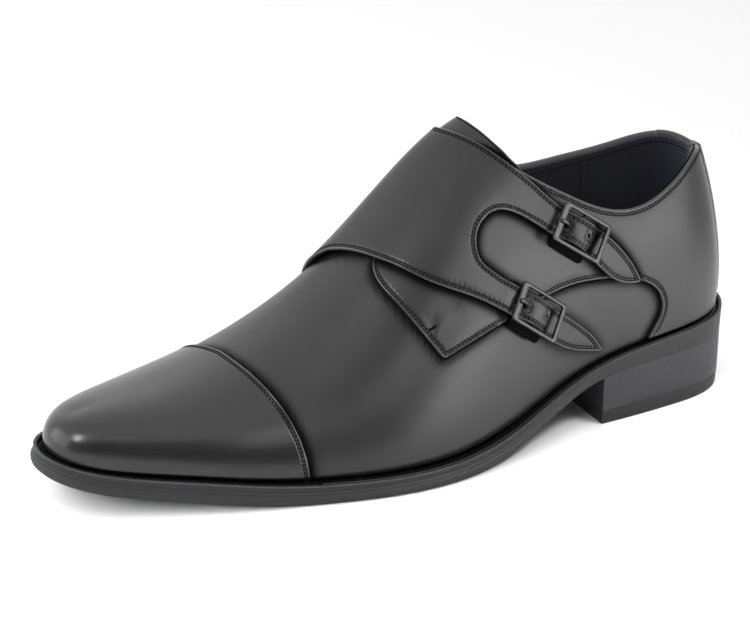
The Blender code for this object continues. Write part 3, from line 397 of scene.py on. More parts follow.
class Last:
    """The foot form that every leather piece is laid over."""

    NUDGE = 1.5e-3
    FOOT_REACH = 0.16         # share of a rib that bends down to the dropped rim

    def __init__(self) -> None:
        """Fit the curves through the tables."""
        self.sides = {side: self._rim_side(side) for side in Side}
        self.sole = Spline.table(SOLE_HEIGHTS)
        self.feather = Spline.table(FEATHER, (0.0, 0.0))
        self.ribs = Spline.table(RIBS, (0.0, 0.0))
        self.topline = Spline.table(TOPLINE, (0.0, None))
        self.cap_seam = Spline([spot.girth for spot in CAP_SEAM], [spot.seam for spot in CAP_SEAM])

    @staticmethod
    def _rim_side(side: Side, samples: int = 1600) -> tuple[Array, Array, Array]:
        """Share of the rim's length, station and width at even steps round one side."""
        rows = np.array([(row.station, row.outer if side is Side.OUTER else row.inner) for row in OUTLINE])
        chord = run_length(rows)
        fine = np.linspace(0, chord[-1], samples)
        station = Spline(chord, rows[:, 0], (0.0, 0.0))(fine)[:, 0]
        width = Spline(chord, rows[:, 1], (1.0, -1.0))(fine)[:, 0]
        length = run_length(np.column_stack([station, width]))
        return length / length[-1], station, width

    def rim(self, seam: Array, side: Side, inset: Array | float) -> Array:
        """Station and width of points on one side of the sole's rim, moved inwards by an inset."""
        share, station, width = self.sides[side]
        nudge = 1e-3
        sign = side.value

        def at(value: Array) -> Array:
            """Points of the rim itself."""
            value = np.clip(value, 0.0, 1.0)
            return np.stack([np.interp(value, share, station), sign * np.interp(value, share, width)], -1)

        seam = np.asarray(seam, float)
        run = at(seam + nudge) - at(seam - nudge)
        run[seam < nudge] = (0.0, sign)
        run[seam > 1 - nudge] = (0.0, -sign)
        run = unit(run)
        inwards = np.stack([run[..., 1], -run[..., 0]], -1) * sign
        return at(seam) + inwards * np.broadcast_to(inset, seam.shape)[..., None]

    def underside(self, station: Array) -> Array:
        """Height of the sole's underside; the ball of the foot lies flat."""
        return np.maximum(self.sole(station)[:, 0], 0.0)

    def rim_height(self, station: Array) -> Array:
        """Height of the sole's rim."""
        edge, drop = self.sole(station)[:, 1:3].T
        return self.underside(station) + edge - drop

    def feather_inset(self, seam: Array) -> Array:
        """Distance of the upper's foot from the sole's rim."""
        return self.feather(seam)[:, 0]

    def _ridge_slope(self, seam: Array) -> Array:
        """Fall of the ridge along the shoe, steady at its two ends."""
        inside = np.clip(seam, 0.015, 0.985)
        ahead = self.ribs(inside + 1e-3) - self.ribs(inside - 1e-3)
        return ahead[:, 2] / ahead[:, 0]

    def _rib_point(self, seam: Array, climb: Array, side: Side) -> Array:
        """Points on one side's ribs; climb is 0 at the feather line, 1 on the ridge."""
        form = self.ribs(seam)
        ridge = form[:, :3]
        lean, rise, reach, shoulder, top = form[:, 3:8].T if side is Side.OUTER else form[:, 8:13].T
        foot = self.rim(seam, side, self.feather_inset(seam))
        drop = self.sole(foot[:, 0])[:, 2]
        ground = self.rim_height(foot[:, 0]) + drop
        out = foot - ridge[:, :2]
        height = ridge[:, 2] - ground

        def control(distance: Array, share: Array) -> Array:
            """Points at these shares of the rib's reach and height."""
            return np.column_stack([ridge[:, :2] + out * distance[:, None], ground + height * share])

        crest = control(top, np.ones_like(top))
        crest[:, 2] += self._ridge_slope(seam) * out[:, 0] * top
        controls = [control(np.ones_like(top), np.zeros_like(top)), control(1 + lean, rise),
                    control(reach, shoulder), crest, ridge]
        degree = len(controls) - 1
        points = np.zeros_like(ridge)
        for i, place in enumerate(controls):
            weight = math.comb(degree, i) * (1 - climb) ** (degree - i) * climb ** i
            points += weight[:, None] * place
        points[:, 2] -= drop * np.clip(1 - climb / self.FOOT_REACH, 0, 1) ** 2
        return points

    def surface(self, seam: Array | float, girth: Array | float) -> Array:
        """Points on the last, for any seam and girth."""
        seam, girth = paired(seam, girth)
        mirrored = (seam < 0) | (seam > 1)
        girth = np.where(mirrored, 2 - girth, girth)
        seam = np.where(seam < 0, -seam, np.where(seam > 1, 2 - seam, seam))
        outer = self._rib_point(seam, np.minimum(girth, 1.0), Side.OUTER)
        inner = self._rib_point(seam, np.minimum(2 - girth, 1.0), Side.INNER)
        return np.where((girth <= 1)[:, None], outer, inner)

    def slopes(self, seam: Array, girth: Array) -> tuple[Array, Array]:
        """How points on the last move with seam and with girth."""
        near_ridge = np.abs(girth - 1) < 0.06
        at = np.where(near_ridge, np.clip(seam, 0.015, 0.985), seam)
        nudge = self.NUDGE
        along = self.surface(at + nudge, girth) - self.surface(at - nudge, girth)
        around = self.surface(at, girth + nudge) - self.surface(at, girth - nudge)
        return along / (2 * nudge), around / (2 * nudge)

    def normal(self, seam: Array | float, girth: Array | float) -> Array:
        """Unit normals of the last, facing out."""
        seam, girth = paired(seam, girth)
        along, around = self.slopes(seam, girth)
        return unit(np.cross(around, along))

    def point(self, seam: Array, girth: Array, lift: Array | float = 0.0) -> Array:
        """Points on the last, raised off it by lift."""
        points = self.surface(seam, girth)
        return points + self.normal(seam, girth) * np.broadcast_to(lift, len(points))[:, None]

    def lifted(self, spots: Array, lift: Lift) -> Array:
        """Points on the last at the spots, raised off it by lift of seam and girth."""
        return self.point(*spots.T, lift(*spots.T))

    def collar_climb(self, seam: Array, side: Side) -> Array:
        """How far up its rib the upper goes."""
        column = 0 if side is Side.OUTER else 1
        climb = self.topline(np.minimum(seam, THROAT))[:, column]
        return np.where(np.asarray(seam) >= THROAT, 1.0, np.minimum(climb, 1.0))

    def collar_run(self, side: Side, start: float, end: float, count: int = 90) -> Array:
        """Spots along the collar between two seams."""
        seam = np.linspace(start, end, count)
        climb = self.collar_climb(seam, side)
        return np.column_stack([seam, side.girth(climb)])


class BuckleSeat:
    """Where one buckle sits: its middle, and its axes along and across the strap."""

    def __init__(self, last: Last, place: BucklePlace) -> None:
        """Find the seat's axes on the last, from the buckle's row in the table."""
        self.last = last
        self.name = place.name
        self.place = place
        ends = [last.surface(spot.seam, spot.girth)[0] for spot in (place.front, place.rear)]
        self.middle = (ends[0] + ends[1]) / 2
        along = unit(ends[1] - ends[0])
        self.guess = (np.array(place.front) + place.rear) / 2
        up = last.normal(*self.guess)[0]
        up = unit(up - along * (up @ along))
        across = np.cross(up, along)
        self.along = along * math.cos(place.tilt) + up * math.sin(place.tilt)
        up = up * math.cos(place.tilt) - along * math.sin(place.tilt)
        self.across = across * math.cos(place.roll) - up * math.sin(place.roll)
        self.up = up * math.cos(place.roll) + across * math.sin(place.roll)

    def offsets(self, points: Array) -> tuple[Array, Array, Array]:
        """Distances of points from the middle: along and across the strap, and up off it."""
        away = points - self.middle
        return away @ self.along, away @ self.across, away @ self.up

    def spot(self, along: float, across: float) -> Spot:
        """Seam and girth of the place on the last at these offsets."""
        place = self.guess
        nudge = 1e-4
        for _ in range(12):
            trial = place + np.array([(0, 0), (nudge, 0), (0, nudge)])
            here = np.stack(self.offsets(self.last.surface(trial[:, 0], trial[:, 1]))[:2], -1)
            slopes = np.stack([here[1] - here[0], here[2] - here[0]], -1) / nudge
            place = place + np.linalg.solve(slopes, np.array([along, across]) - here[0])
        return Spot(*place)

    def strap_edges(self) -> list[Array]:
        """Spots along the strap's lower edge to its tip, and back along its upper edge."""
        edges = self.place.lower_edge, self.place.upper_edge
        return [np.array([self.spot(*place) for place in edge]) for edge in edges]

    def oval(self, along: float, across: float, half_length: float, half_width: float,
             corners: int = 24) -> Array:
        """Spots round an oval on the strap, from its middle's offsets and half its two sizes."""
        angles = np.linspace(0, 2 * math.pi, corners, endpoint=False)
        return np.array([self.spot(along + half_length * math.cos(a), across + half_width * math.sin(a))
                         for a in angles])

    def placed(self, points: Array, lift: float) -> Array:
        """Points modelled with X along the strap and Z up, in the last's axes."""
        turn = np.array([self.along, self.across, self.up])
        return np.asarray(points) @ turn + self.middle + self.up * lift


# --- finishes ---


class Grain(NamedTuple):
    """Fine relief: size of its lumps, how deep it is, and its detail, or 0 for rounded cells."""

    size: float
    depth: float
    detail: float = 3.0


class Nodes:
    """A node tree, with short calls to add, fill and join nodes."""

    def __init__(self, tree: Tree) -> None:
        """Take the tree."""
        self.tree = tree

    def fill(self, node: Node, **values: object) -> Node:
        """Set a node's properties, or its inputs with underscores for spaces; a socket is linked."""
        for key, value in values.items():
            if hasattr(node, key):
                setattr(node, key, value)
            elif isinstance(value, Socket):
                self.tree.links.new(value, node.inputs[key.replace("_", " ")])
            else:
                node.inputs[key.replace("_", " ")].default_value = value
        return node

    def add(self, kind: str, **values: object) -> Node:
        """Add a node and fill it."""
        return self.fill(self.tree.nodes.new(kind), **values)

    def spread(self, source: Socket, low: float, high: float, start: float = 0.3, end: float = 0.7,
               form: str = "LINEAR") -> Socket:
        """Map a source's start to end onto low to high."""
        return self.add("ShaderNodeMapRange", clamp=True, interpolation_type=form, Value=source, From_Min=start,
                        From_Max=end, To_Min=low, To_Max=high).outputs["Result"]


class NodeBench(Nodes):
    """A material's node tree, with short calls for its parts."""

    def __init__(self, name: str) -> None:
        """Start a material that holds one Principled shader."""
        self.material = bpy.data.materials.new(name)
        self.material.use_nodes = True
        super().__init__(self.material.node_tree)
        self.shader = self.tree.nodes["Principled BSDF"]
        self.place = self.add("ShaderNodeTexCoord").outputs["Object"]

    def level(self, **values: object) -> None:
        """Set or link the shader's own sockets."""
        self.fill(self.shader, **values)

    def noise(self, size: float, detail: float = 3.0, roughness: float = 0.55) -> Socket:
        """Cloudy noise whose lumps are about size millimetres across."""
        return self.add("ShaderNodeTexNoise", Vector=self.place, Scale=1 / (size * MM), Detail=detail,
                        Roughness=roughness).outputs["Fac"]

    def cells(self, size: float) -> Socket:
        """Distance pattern of rounded cells about size millimetres across."""
        return self.add("ShaderNodeTexVoronoi", feature="SMOOTH_F1", Vector=self.place,
                        Scale=1 / (size * MM)).outputs["Distance"]

    def mark(self, name: str, low: float, high: float) -> Socket:
        """A mesh's own marks, 0 to 1, mapped onto low to high."""
        return self.spread(self.add("ShaderNodeAttribute", attribute_name=name).outputs["Fac"], low, high, 0.0, 1.0)

    def blend(self, factor: Socket, first: Colour, second: Colour) -> Node:
        """A node that mixes two colours."""
        node = self.add("ShaderNodeMix", data_type="RGBA", Factor=factor)
        for socket, colour in zip([socket for socket in node.inputs if socket.type == "RGBA"], (first, second)):
            socket.default_value = (*colour, 1.0)
        return node

    def tint(self, factor: Socket, first: Colour, second: Colour, gets_shade: bool = False) -> None:
        """Base colour between two colours, and near black where the mesh carries painted shade."""
        node = self.blend(factor, first, second)
        if gets_shade:
            over = self.blend(self.mark(PAINTED_SHADE, 0.0, 1.0), first, SHADE_BLACK)
            self.tree.links.new(node.outputs[2], over.inputs[6])
            node = over
        self.level(Base_Color=node.outputs[2])

    def bump(self, layers: Sequence[Grain]) -> None:
        """Raise the surface by layers of grain, each over the last."""
        before = {}
        for size, depth, detail in layers:
            height = self.noise(size, detail) if detail else self.cells(size)
            node = self.add("ShaderNodeBump", Strength=1.0, Distance=depth * MM, Height=height, **before)
            before = {"Normal": node.outputs["Normal"]}
        self.level(**before)


@dataclass(frozen=True)
class Finish:
    """A surface of two colours in clouds, with its gloss and its grain.

    Clouds and wear are the noises, by size, detail and roughness, behind the colour and the
    gloss.  More holds other sockets of the shader.
    """

    name: str
    slot: Slot
    colour: Colour
    shade: Colour
    gloss: float = 0.45
    dull: float = 0.6
    shine: float = 0.35
    clouds: tuple[float, ...] = (1.4, 6.0, 0.7)
    wear: tuple[float, ...] = (3.0, 4.0)
    grain: tuple[Grain, ...] = (Grain(0.35, 0.02, 4.0),)
    # whether the colour darkens to painted shade by the mesh's marks
    gets_shade: bool = False
    more: tuple[tuple[str, float], ...] = ()

    def material(self) -> bpy.types.Material:
        """Build the surface's nodes."""
        bench = NodeBench(self.name)
        bench.tint(bench.spread(bench.noise(*self.clouds), 0.0, 1.0), self.colour, self.shade, self.gets_shade)
        bench.level(Roughness=bench.spread(bench.noise(*self.wear), self.gloss, self.dull),
                    Specular_IOR_Level=self.shine, **dict(self.more))
        bench.bump(self.grain)
        self.polish(bench)
        return bench.material

    def polish(self, bench: NodeBench) -> None:
        """Plain surfaces get no more polish."""


@dataclass(frozen=True)
class LeatherFinish(Finish):
    """Smooth dyed leather: a faint pore grain under a polish that is stronger on rolled edges."""

    gloss: float = 0.30
    dull: float = 0.36
    clouds: tuple[float, ...] = (22.0,)
    wear: tuple[float, ...] = (5.0, 5.0)
    grain: tuple[Grain, ...] = (Grain(0.55, 0.010, 0.0), Grain(0.25, 0.007, 4.0), Grain(9.0, 0.06, 2.0))
    # leather takes the painted shade
    gets_shade: bool = True
    coat: float = 0.0
    coat_rough: float = 0.25

    def polish(self, bench: NodeBench) -> None:
        """Take the shine away where shade is painted, and coat the edges, by the mesh's marks."""
        bench.level(Specular_IOR_Level=bench.mark(PAINTED_SHADE, 0.5, 0.02), Coat_Weight=bench.mark(POLISH, self.coat, 0.9),
                    Coat_Roughness=self.coat_rough)


@dataclass(frozen=True)
class LiningFinish(Finish):
    """Matt lining with a soft nap."""

    gloss: float = 0.58
    dull: float = 0.72
    clouds: tuple[float, ...] = (12.0,)
    wear: tuple[float, ...] = (2.0,)
    grain: tuple[Grain, ...] = (Grain(0.8, 0.03, 0.0), Grain(0.3, 0.02))


CALF = (.0070, .0070, .0076), (.0100, .0100, .0107)
UPPER_LEATHER = LeatherFinish("black calf leather", Slot.LEATHER, *CALF)
COLLAR_LEATHER = LeatherFinish("collar fold leather", Slot.LEATHER, *CALF, coat=.35, coat_rough=.22)
CAP_LEATHER = LeatherFinish("polished cap leather", Slot.CAP, (.0065, .0065, .0070), (.0085, .0085, .0091),
                            gloss=.22, dull=.27, coat=.15, coat_rough=.16)
LINING_LEATHER = LiningFinish("lining leather", Slot.LINING, (.0060, .0062, .0130), (.0084, .0088, .0175),
                              more=(("Sheen_Weight", 0.15), ("Sheen_Roughness", 0.5)))
ELASTIC = LiningFinish("ribbed elastic", Slot.LINING, (.0015, .0015, .0018), (.003, .003, .0035), shine=.03)
SOLE_SIDE = Finish("sole edge", Slot.SOLE, (.013, .013, .014), (.018, .018, .019), shine=.3)
SOLE_LIP = Finish("sole lip", Slot.SOLE, (.024, .024, .025), (.038, .038, .040), gloss=.5, dull=.65)
# near black and without shine, as painted shade down in the groove
SHADED_SOLE_GROOVE = Finish("sole groove", Slot.SOLE, (.003, .003, .003), (.005, .005, .005), shine=.05)
SOLE_BOTTOM = Finish("sole bottom", Slot.SOLE, (.022, .022, .023), (.030, .030, .031), gloss=.6, dull=.75)
HEEL_SIDE = Finish("heel stack", Slot.HEEL, (.017, .017, .020), (.023, .023, .027))
TOP_RUBBER = Finish("top piece rubber", Slot.TOP_PIECE, (.008, .008, .009), (.012, .012, .013), shine=.3)
WELT_GLOSS = Finish("glossy welt cord", Slot.WELT, (.005, .005, .005), (.008, .008, .008), .12, .2, .5)
WELT_MATT = Finish("matt welt cord", Slot.WELT, (.004, .004, .004), (.006, .006, .006), .9, 1.0, .05)
# a dark strip laid beside a panel's edge as painted shadow
EDGE_SHADOW_PAINT = Finish("edge ink", Slot.LEATHER, (.002, .002, .002), (.004, .004, .004), .7, .8, .03)
GUNMETAL = Finish("gunmetal plate", Slot.METAL, (.062, .062, .063), (.080, .080, .081), .20, .28, .5,
                  clouds=(2.5,), wear=(0.8, 5.0), grain=(), more=(("Metallic", 1.0),))
THREAD = Finish("black thread", Slot.LEATHER, (.0025, .0025, .003), (.004, .004, .0045), .7, .85, .08,
                clouds=(0.6,), wear=(0.4,), grain=(Grain(0.12, 0.02),))


# --- workbench ---


def stood(name: str, data: bpy.types.ID) -> bpy.types.Object:
    """A new object, put in the scene."""
    thing = bpy.data.objects.new(name, data)
    bpy.context.scene.collection.objects.link(thing)
    return thing


class Workbench:
    """Makes pieces of points and faces, dresses them, hangs them on the body and hides the frame nodes they replace."""

    def __init__(self) -> None:
        """Start with no materials made."""
        self.made: dict[str, bpy.types.Material] = {}

    def material(self, finish: Finish) -> bpy.types.Material:
        """A finish's material, built once."""
        if finish.name not in self.made:
            self.made[finish.name] = finish.material()
        return self.made[finish.name]

    def piece(self, name: str, points: Array, faces: Faces, finishes: Sequence[Finish], replaces: Sequence[str] = (),
              paints: Array | None = None, sharp: float | None = None, marks: dict[str, Array] | None = None) -> None:
        """Make a smooth piece of points and faces.

        Args:
            name: the piece's name.
            points: its corners in the last's axes.
            faces: its faces, turned outwards.
            finishes: its finishes.
            replaces: frame nodes that it stands for.
            paints: index of each face's finish, where it has several.
            sharp: angle in degrees past which edges stay sharp, or None.
            marks: named marks, a number for each corner.
        """
        mesh = bpy.data.meshes.new(name)
        mesh.from_pydata(in_metres(points).tolist(), [], [tuple(map(int, face)) for face in faces])
        mesh.shade_smooth()
        if paints is not None:
            mesh.polygons.foreach_set("material_index", np.asarray(paints, np.int32))
        mesh.update()
        for mark, values in (marks or {}).items():
            mesh.attributes.new(mark, "FLOAT", "POINT").data.foreach_set("value", values.astype(np.float32))
        for finish in finishes:
            mesh.materials.append(self.material(finish))
        if sharp is not None:
            mesh.set_sharp_from_angle(angle=math.radians(sharp))
        self.publish(name, mesh, finishes[0], replaces)

    def publish(self, name: str, mesh: bpy.types.Mesh, finish: Finish, replaces: Sequence[str] = ()) -> None:
        """Put a dressed mesh in the scene on the body, and hide the frame nodes it replaces."""
        piece = stood(name, mesh)
        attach(piece, BODY)
        if replaces:
            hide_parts(*replaces)
        log.info("%s: %d triangles", name, sum(len(face.vertices) - 2 for face in mesh.polygons))


# --- sheets ---


class Run(NamedTuple):
    """A stretch of a panel's outline, and how far in from it the stitches run."""

    spots: Sequence[Spot] | Array
    rows: tuple[float, ...] = ()


@dataclass
class Border:
    """A closed outline on the last, its points and its stitch rows."""

    spots: Array
    points: Array
    rows: list[tuple[float, ...]]

    def sewn(self) -> Array:
        """Which corners are sewn."""
        return np.array([bool(row) for row in self.rows])

    def places(self) -> list[float]:
        """Distance of each stitch row from the edge."""
        return sorted({place for row in self.rows for place in row})


@dataclass
class Sheet:
    """A dense open surface on the last, before it is given its thickness.

    Edge is each spot's distance from the sheet's edge.  Rows holds each stitch row's distance
    from the edge, and how far it applies to each spot.
    """

    spots: Array
    faces: Array
    edge: Array
    rows: Sequence[tuple[float, Array]] = ()


def first_row(rows: Sequence[tuple[float, Array]]) -> tuple[float, Array]:
    """Distance of the first stitch row from the edge, and how far each spot is sewn."""
    return min(place for place, _ in rows), np.max([share for _, share in rows], axis=0)


@dataclass(frozen=True)
class EdgeForm:
    """How a leather edge is rolled, and drawn down by its stitches."""

    roll: float = 0.7
    puff: float = 0.16
    groove: float = 0.30
    groove_width: float = 0.30

    def height(self, distance: Array, rows: Sequence[tuple[float, Array]]) -> Array:
        """Rise of the face beyond its even thickness, by the distance from the edge and from the rows."""
        rise = np.zeros_like(distance)
        for place, share in rows:
            rise -= self.groove * share * np.exp(-((distance - place) / self.groove_width) ** 2)
        if rows:
            first, share = first_row(rows)
            rise += self.puff * share * np.sin(math.pi * np.clip(distance / first, 0, 1))
        return rise

    def rolled(self, distance: Array) -> Array:
        """Share of the half thickness that stands at each distance from the edge."""
        return np.sqrt(np.maximum(1 - (1 - np.clip(distance / self.roll, 0, 1)) ** 2, 0))


def chart(spots: Array) -> Array:
    """Spots as near-true distances on a flat chart."""
    return np.asarray(spots, float) * CHART


def inside(points: Array, loop: Array) -> Array:
    """Which flat points lie within a closed loop."""
    x, y = points.T
    result = np.zeros(len(points), bool)
    for (x0, y0), (x1, y1) in zip(loop, np.roll(loop, -1, axis=0)):
        if y0 != y1:
            result ^= ((y0 > y) != (y1 > y)) & (x < (x1 - x0) * (y - y0) / (y1 - y0) + x0)
    return result


def open_edges(faces: Array) -> Array:
    """Edges that belong to one face only, in the direction that face has them."""
    pairs = np.concatenate([np.column_stack([faces[:, i], faces[:, (i + 1) % faces.shape[1]]])
                            for i in range(faces.shape[1])])
    pairs = pairs[pairs[:, 0] != pairs[:, 1]]
    _, first, count = np.unique(np.sort(pairs, axis=1), axis=0, return_index=True, return_counts=True)
    return pairs[first[count == 1]]


def nearest(points: Array, targets: Array) -> tuple[Array, Array]:
    """The nearest target's index, and its distance, for each point."""
    tree = KDTree(len(targets))
    for i, place in enumerate(targets):
        tree.insert(place, i)
    tree.balance()
    found = [tree.find(point) for point in points]
    return np.array([hit[1] for hit in found]), np.array([hit[2] for hit in found])


def edge_distances(points: Array, edges: Array) -> Array:
    """Distance of each point from a set of edges, given as pairs of point indices."""
    parts = 3
    share = (np.arange(parts) + 0.5) / parts
    start, end = points[edges[:, 0]], points[edges[:, 1]]
    samples = (start[:, None] + (end - start)[:, None] * share[None, :, None]).reshape(-1, 3)
    near = nearest(points, samples)[0] // parts
    best = np.full(len(points), np.inf)
    for shift in (-1, 0, 1):
        other = np.clip(near + shift, 0, len(edges) - 1)
        a, run = start[other], (end - start)[other]
        along = np.clip(np.einsum("ij,ij->i", points - a, run) / np.maximum((run ** 2).sum(1), 1e-12), 0, 1)
        best = np.minimum(best, np.linalg.norm(points - a - along[:, None] * run, axis=1))
    best[np.unique(edges)] = 0.0
    return best


def loop_distances(points: Array, loop: Array) -> Array:
    """Distance of each point from a closed loop of points."""
    corner = np.arange(len(loop))
    edges = np.column_stack([corner, np.roll(corner, -1)])
    return edge_distances(np.concatenate([loop, points]), edges)[len(loop):]


def resampled(loop: Array, owner: Array, length: Array, count: int) -> tuple[Array, Array]:
    """So many even steps round a loop, and each one's owner.

    Length is the distance round the loop of each corner, and of the first one again.
    """
    even = np.linspace(0, length[-1], count, endpoint=False)
    before = np.clip(np.searchsorted(length, even, side="right") - 1, 0, len(owner) - 1)
    return np.column_stack([np.interp(even, length, column) for column in closed(loop).T]), owner[before]


@dataclass
class Cutter:
    """Cuts panels from their outlines: rows along the edges, an even field within."""

    last: Last
    edge_step: float = 1.1
    field_step: float = 2.2
    corner: float = 0.8
    fine: float = 0.35
    near_rows: tuple[float, ...] = (.05, .15, .32, .55, .78, .98, 1.2, 1.42, 1.65, 1.88, 2.1, 2.35, 2.6)
    far_rows: tuple[float, ...] = (3.0, 3.5, 4.2, 5.2)
    beyond_rows: float = 1.2
    crowding: float = 0.82
    hole_margin: float = 0.2
    extra_depth: float = 0.4

    def run(self, spots: Sequence[Spot] | Array, step: float = 0.4) -> Array:
        """A smooth run of close spots through a few, its last one left off."""
        flat = chart(spots)
        chord = run_length(flat)
        count = max(3, int(round(chord[-1] / step)))
        return Spline(chord, flat)(np.linspace(0, chord[-1], count + 1)[:-1]) / CHART

    def outline(self, runs: Sequence[Run], lift: Lift) -> Border:
        """A closed outline of runs in order, with rounded corners and even steps."""
        pieces = [self.run(run.spots) for run in runs]
        owner = np.repeat(np.arange(len(pieces)), [len(piece) for piece in pieces])
        loop = np.concatenate(pieces)
        length = run_length(chart(closed(loop)))
        loop, owner = resampled(loop, owner, length, int(length[-1] / self.fine))
        reach = int(4 * self.corner / self.fine) + 1
        weights = np.exp(-0.5 * (np.arange(-reach, reach + 1) * self.fine / self.corner) ** 2)
        weights /= weights.sum()
        padded = np.vstack([loop[-reach:], loop, loop[:reach]])
        loop = np.column_stack([np.convolve(column, weights, "valid") for column in padded.T])
        length = run_length(self.last.lifted(closed(loop), lift))
        spots, owner = resampled(loop, owner, length, int(round(length[-1] / self.edge_step)))
        flat = chart(spots)
        after = np.roll(flat, -1, axis=0)
        if (flat[:, 0] * after[:, 1] - after[:, 0] * flat[:, 1]).sum() < 0:
            spots, owner = spots[::-1], owner[::-1]
        return Border(spots, self.last.lifted(spots, lift), [runs[i].rows for i in owner])

    def inwards(self, outline: Border) -> Array:
        """Step on the last, for one millimetre inwards, at each corner of an outline."""
        along = unit(np.roll(outline.points, -1, axis=0) - np.roll(outline.points, 1, axis=0))
        into = np.cross(along, self.last.normal(*outline.spots.T))
        by_seam, by_girth = self.last.slopes(*outline.spots.T)
        a, b, c = (by_seam ** 2).sum(1), (by_seam * by_girth).sum(1), (by_girth ** 2).sum(1)
        p, q = (by_seam * into).sum(1), (by_girth * into).sum(1)
        return np.column_stack([p * c - q * b, q * a - p * b]) / (a * c - b * b)[:, None]

    def field(self, flat: Array) -> Array:
        """Even free spots over the chart area of an outline."""
        low, high = flat.min(axis=0) / CHART, flat.max(axis=0) / CHART
        bottom, top = max(low[1], 0), min(high[1], 2)
        spots = []
        for column, seam in enumerate(np.arange(low[0], high[0], self.field_step / CHART[0])):
            length = run_length(self.last.surface(seam, np.linspace(bottom, top, 30)))[-1]
            count = max(2, int(length / self.field_step))
            girth = bottom + (np.arange(count) + (0.25 if column % 2 else 0.75)) / count * (top - bottom)
            spots.append(np.column_stack([np.full(count, seam), girth]))
        return chart(np.concatenate(spots))

    def free_spots(self, outline: Border, lift: Lift, holes: Sequence[Array], extra: Sequence[Array]) -> Array:
        """Charted spots within an outline, clear of its holes: close rows along its edge, then an even field."""
        border = chart(outline.spots)
        step = self.inwards(outline)
        rows = [(chart(outline.spots[::each] + step[::each] * distance), distance)
                for each, distances in ((1, self.near_rows), (2, self.far_rows)) for distance in distances]
        rows.append((self.field(border), self.far_rows[-1] + self.beyond_rows))
        rows += [(chart(spots), self.extra_depth) for spots in extra]
        flat = np.concatenate([row for row, _ in rows])
        depth = np.repeat([distance for _, distance in rows], [len(row) for row, _ in rows])
        keep = inside(flat, border)
        flat, depth = flat[keep], depth[keep]
        points = self.last.lifted(flat / CHART, lift)
        keep = loop_distances(points, outline.points) > self.crowding * depth
        flat, points = flat[keep], points[keep]
        for hole in holes:
            away = loop_distances(points, self.last.lifted(hole, lift))
            keep = (away > self.hole_margin) & ~inside(flat, chart(hole))
            flat, points = flat[keep], points[keep]
        return flat

    def cut(self, outline: Border, lift: Lift, holes: Sequence[Array] = (), extra: Sequence[Array] = ()) -> Sheet:
        """Fill an outline with faces.

        Args:
            outline: the panel's outline.
            lift: height of the panel over the last.
            holes: spots round each hole.
            extra: more spots to use where the panel bends sharply.
        """
        loops = [chart(outline.spots)] + [chart(hole) for hole in holes]
        edges, start = [], 0
        for loop in loops:
            edges += [(start + i, start + (i + 1) % len(loop)) for i in range(len(loop))]
            start += len(loop)
        flat = np.concatenate(loops + [self.free_spots(outline, lift, holes, extra)])
        corners, _, faces, *_ = delaunay_2d_cdt([Vector(spot) for spot in flat], edges, [], 0, 1e-4)
        flat = np.array(corners)
        faces = np.array([tuple(face) for face in faces if len(face) == 3])
        middles = flat[faces].mean(axis=1)
        keep = inside(middles, loops[0])
        for hole in loops[1:]:
            keep &= ~inside(middles, hole)
        used, faces = np.unique(faces[keep][:, ::-1], return_inverse=True)
        sheet = self.measured(flat[used] / CHART, faces.reshape(-1, 3), lift)
        near = nearest(self.last.lifted(sheet.spots, lift), outline.points)[0]
        sheet.rows = [(place, np.array([float(place in row) for row in outline.rows])[near])
                      for place in outline.places()]
        return sheet

    def measured(self, spots: Array, faces: Array, lift: Lift) -> Sheet:
        """A sheet with each spot's distance from the sheet's open edges."""
        return Sheet(spots, faces, edge_distances(self.last.lifted(spots, lift), open_edges(faces)))


def sheet_body(sheet: Sheet, last: Last, base: Array, top: Array, form: EdgeForm) -> tuple[Array, Array, Array]:
    """Close a sheet into a body with rolled edges.

    Args:
        sheet: the open surface.
        last: the shoe's last.
        base: height of its underside at each spot.
        top: height of its face at each spot.
        form: shape of its edges.

    Returns:
        Points, faces, and which faces are the underside.
    """
    surface, normal = last.surface(*sheet.spots.T), last.normal(*sheet.spots.T)
    middle = (base + top) / 2
    share = form.rolled(sheet.edge)
    upper = middle + (top - middle) * share + form.height(sheet.edge, sheet.rows) * share
    lower = middle + (base - middle) * share
    rim = np.zeros(len(surface), bool)
    rim[np.unique(open_edges(sheet.faces))] = True
    upper[rim] = middle[rim]
    below = np.arange(len(surface))
    below[~rim] = len(surface) + np.arange((~rim).sum())
    points = np.concatenate([surface + normal * upper[:, None], (surface + normal * lower[:, None])[~rim]])
    faces = np.concatenate([sheet.faces, below[sheet.faces][:, ::-1]])
    return points, faces, np.repeat([False, True], len(sheet.faces))


def bar(path: Array, sizes: Array | Sequence[float], corners: int = 8, side: Array | None = None,
        up: Array | None = None) -> Body:
    """A closed bar of oval section along a path.

    Args:
        path: points along the bar.
        sizes: half the section's size along side and along up.
        corners: corners of the section.
        side: unit vectors across the bar; left out, they stand square to the path and to up.
        up: the same for up, which stands square to the path and to side.

    Returns:
        Points and faces.
    """
    side = unit(np.cross(np.gradient(path, axis=0), up)) if side is None else np.broadcast_to(side, path.shape)
    up = unit(np.cross(np.gradient(path, axis=0), side)) if up is None else up
    angles = np.linspace(0, 2 * math.pi, corners, endpoint=False)
    sizes = np.broadcast_to(sizes, (len(path), 2))
    across = side[:, None] * np.cos(angles)[None, :, None] * sizes[:, None, :1]
    points = (path[:, None] + across + up[:, None] * np.sin(angles)[None, :, None] * sizes[:, None, 1:]).reshape(-1, 3)
    faces = [(level + i, level + j, level + corners + j, level + corners + i)
             for level in range(0, len(points) - corners, corners)
             for i, j in zip(range(corners), [*range(1, corners), 0])]
    faces += [tuple(range(corners))[::-1], tuple(range(len(points) - corners, len(points)))]
    if np.cross(side[0], up[0]) @ (path[1] - path[0]) < 0:
        faces = [face[::-1] for face in faces]
    return points, faces


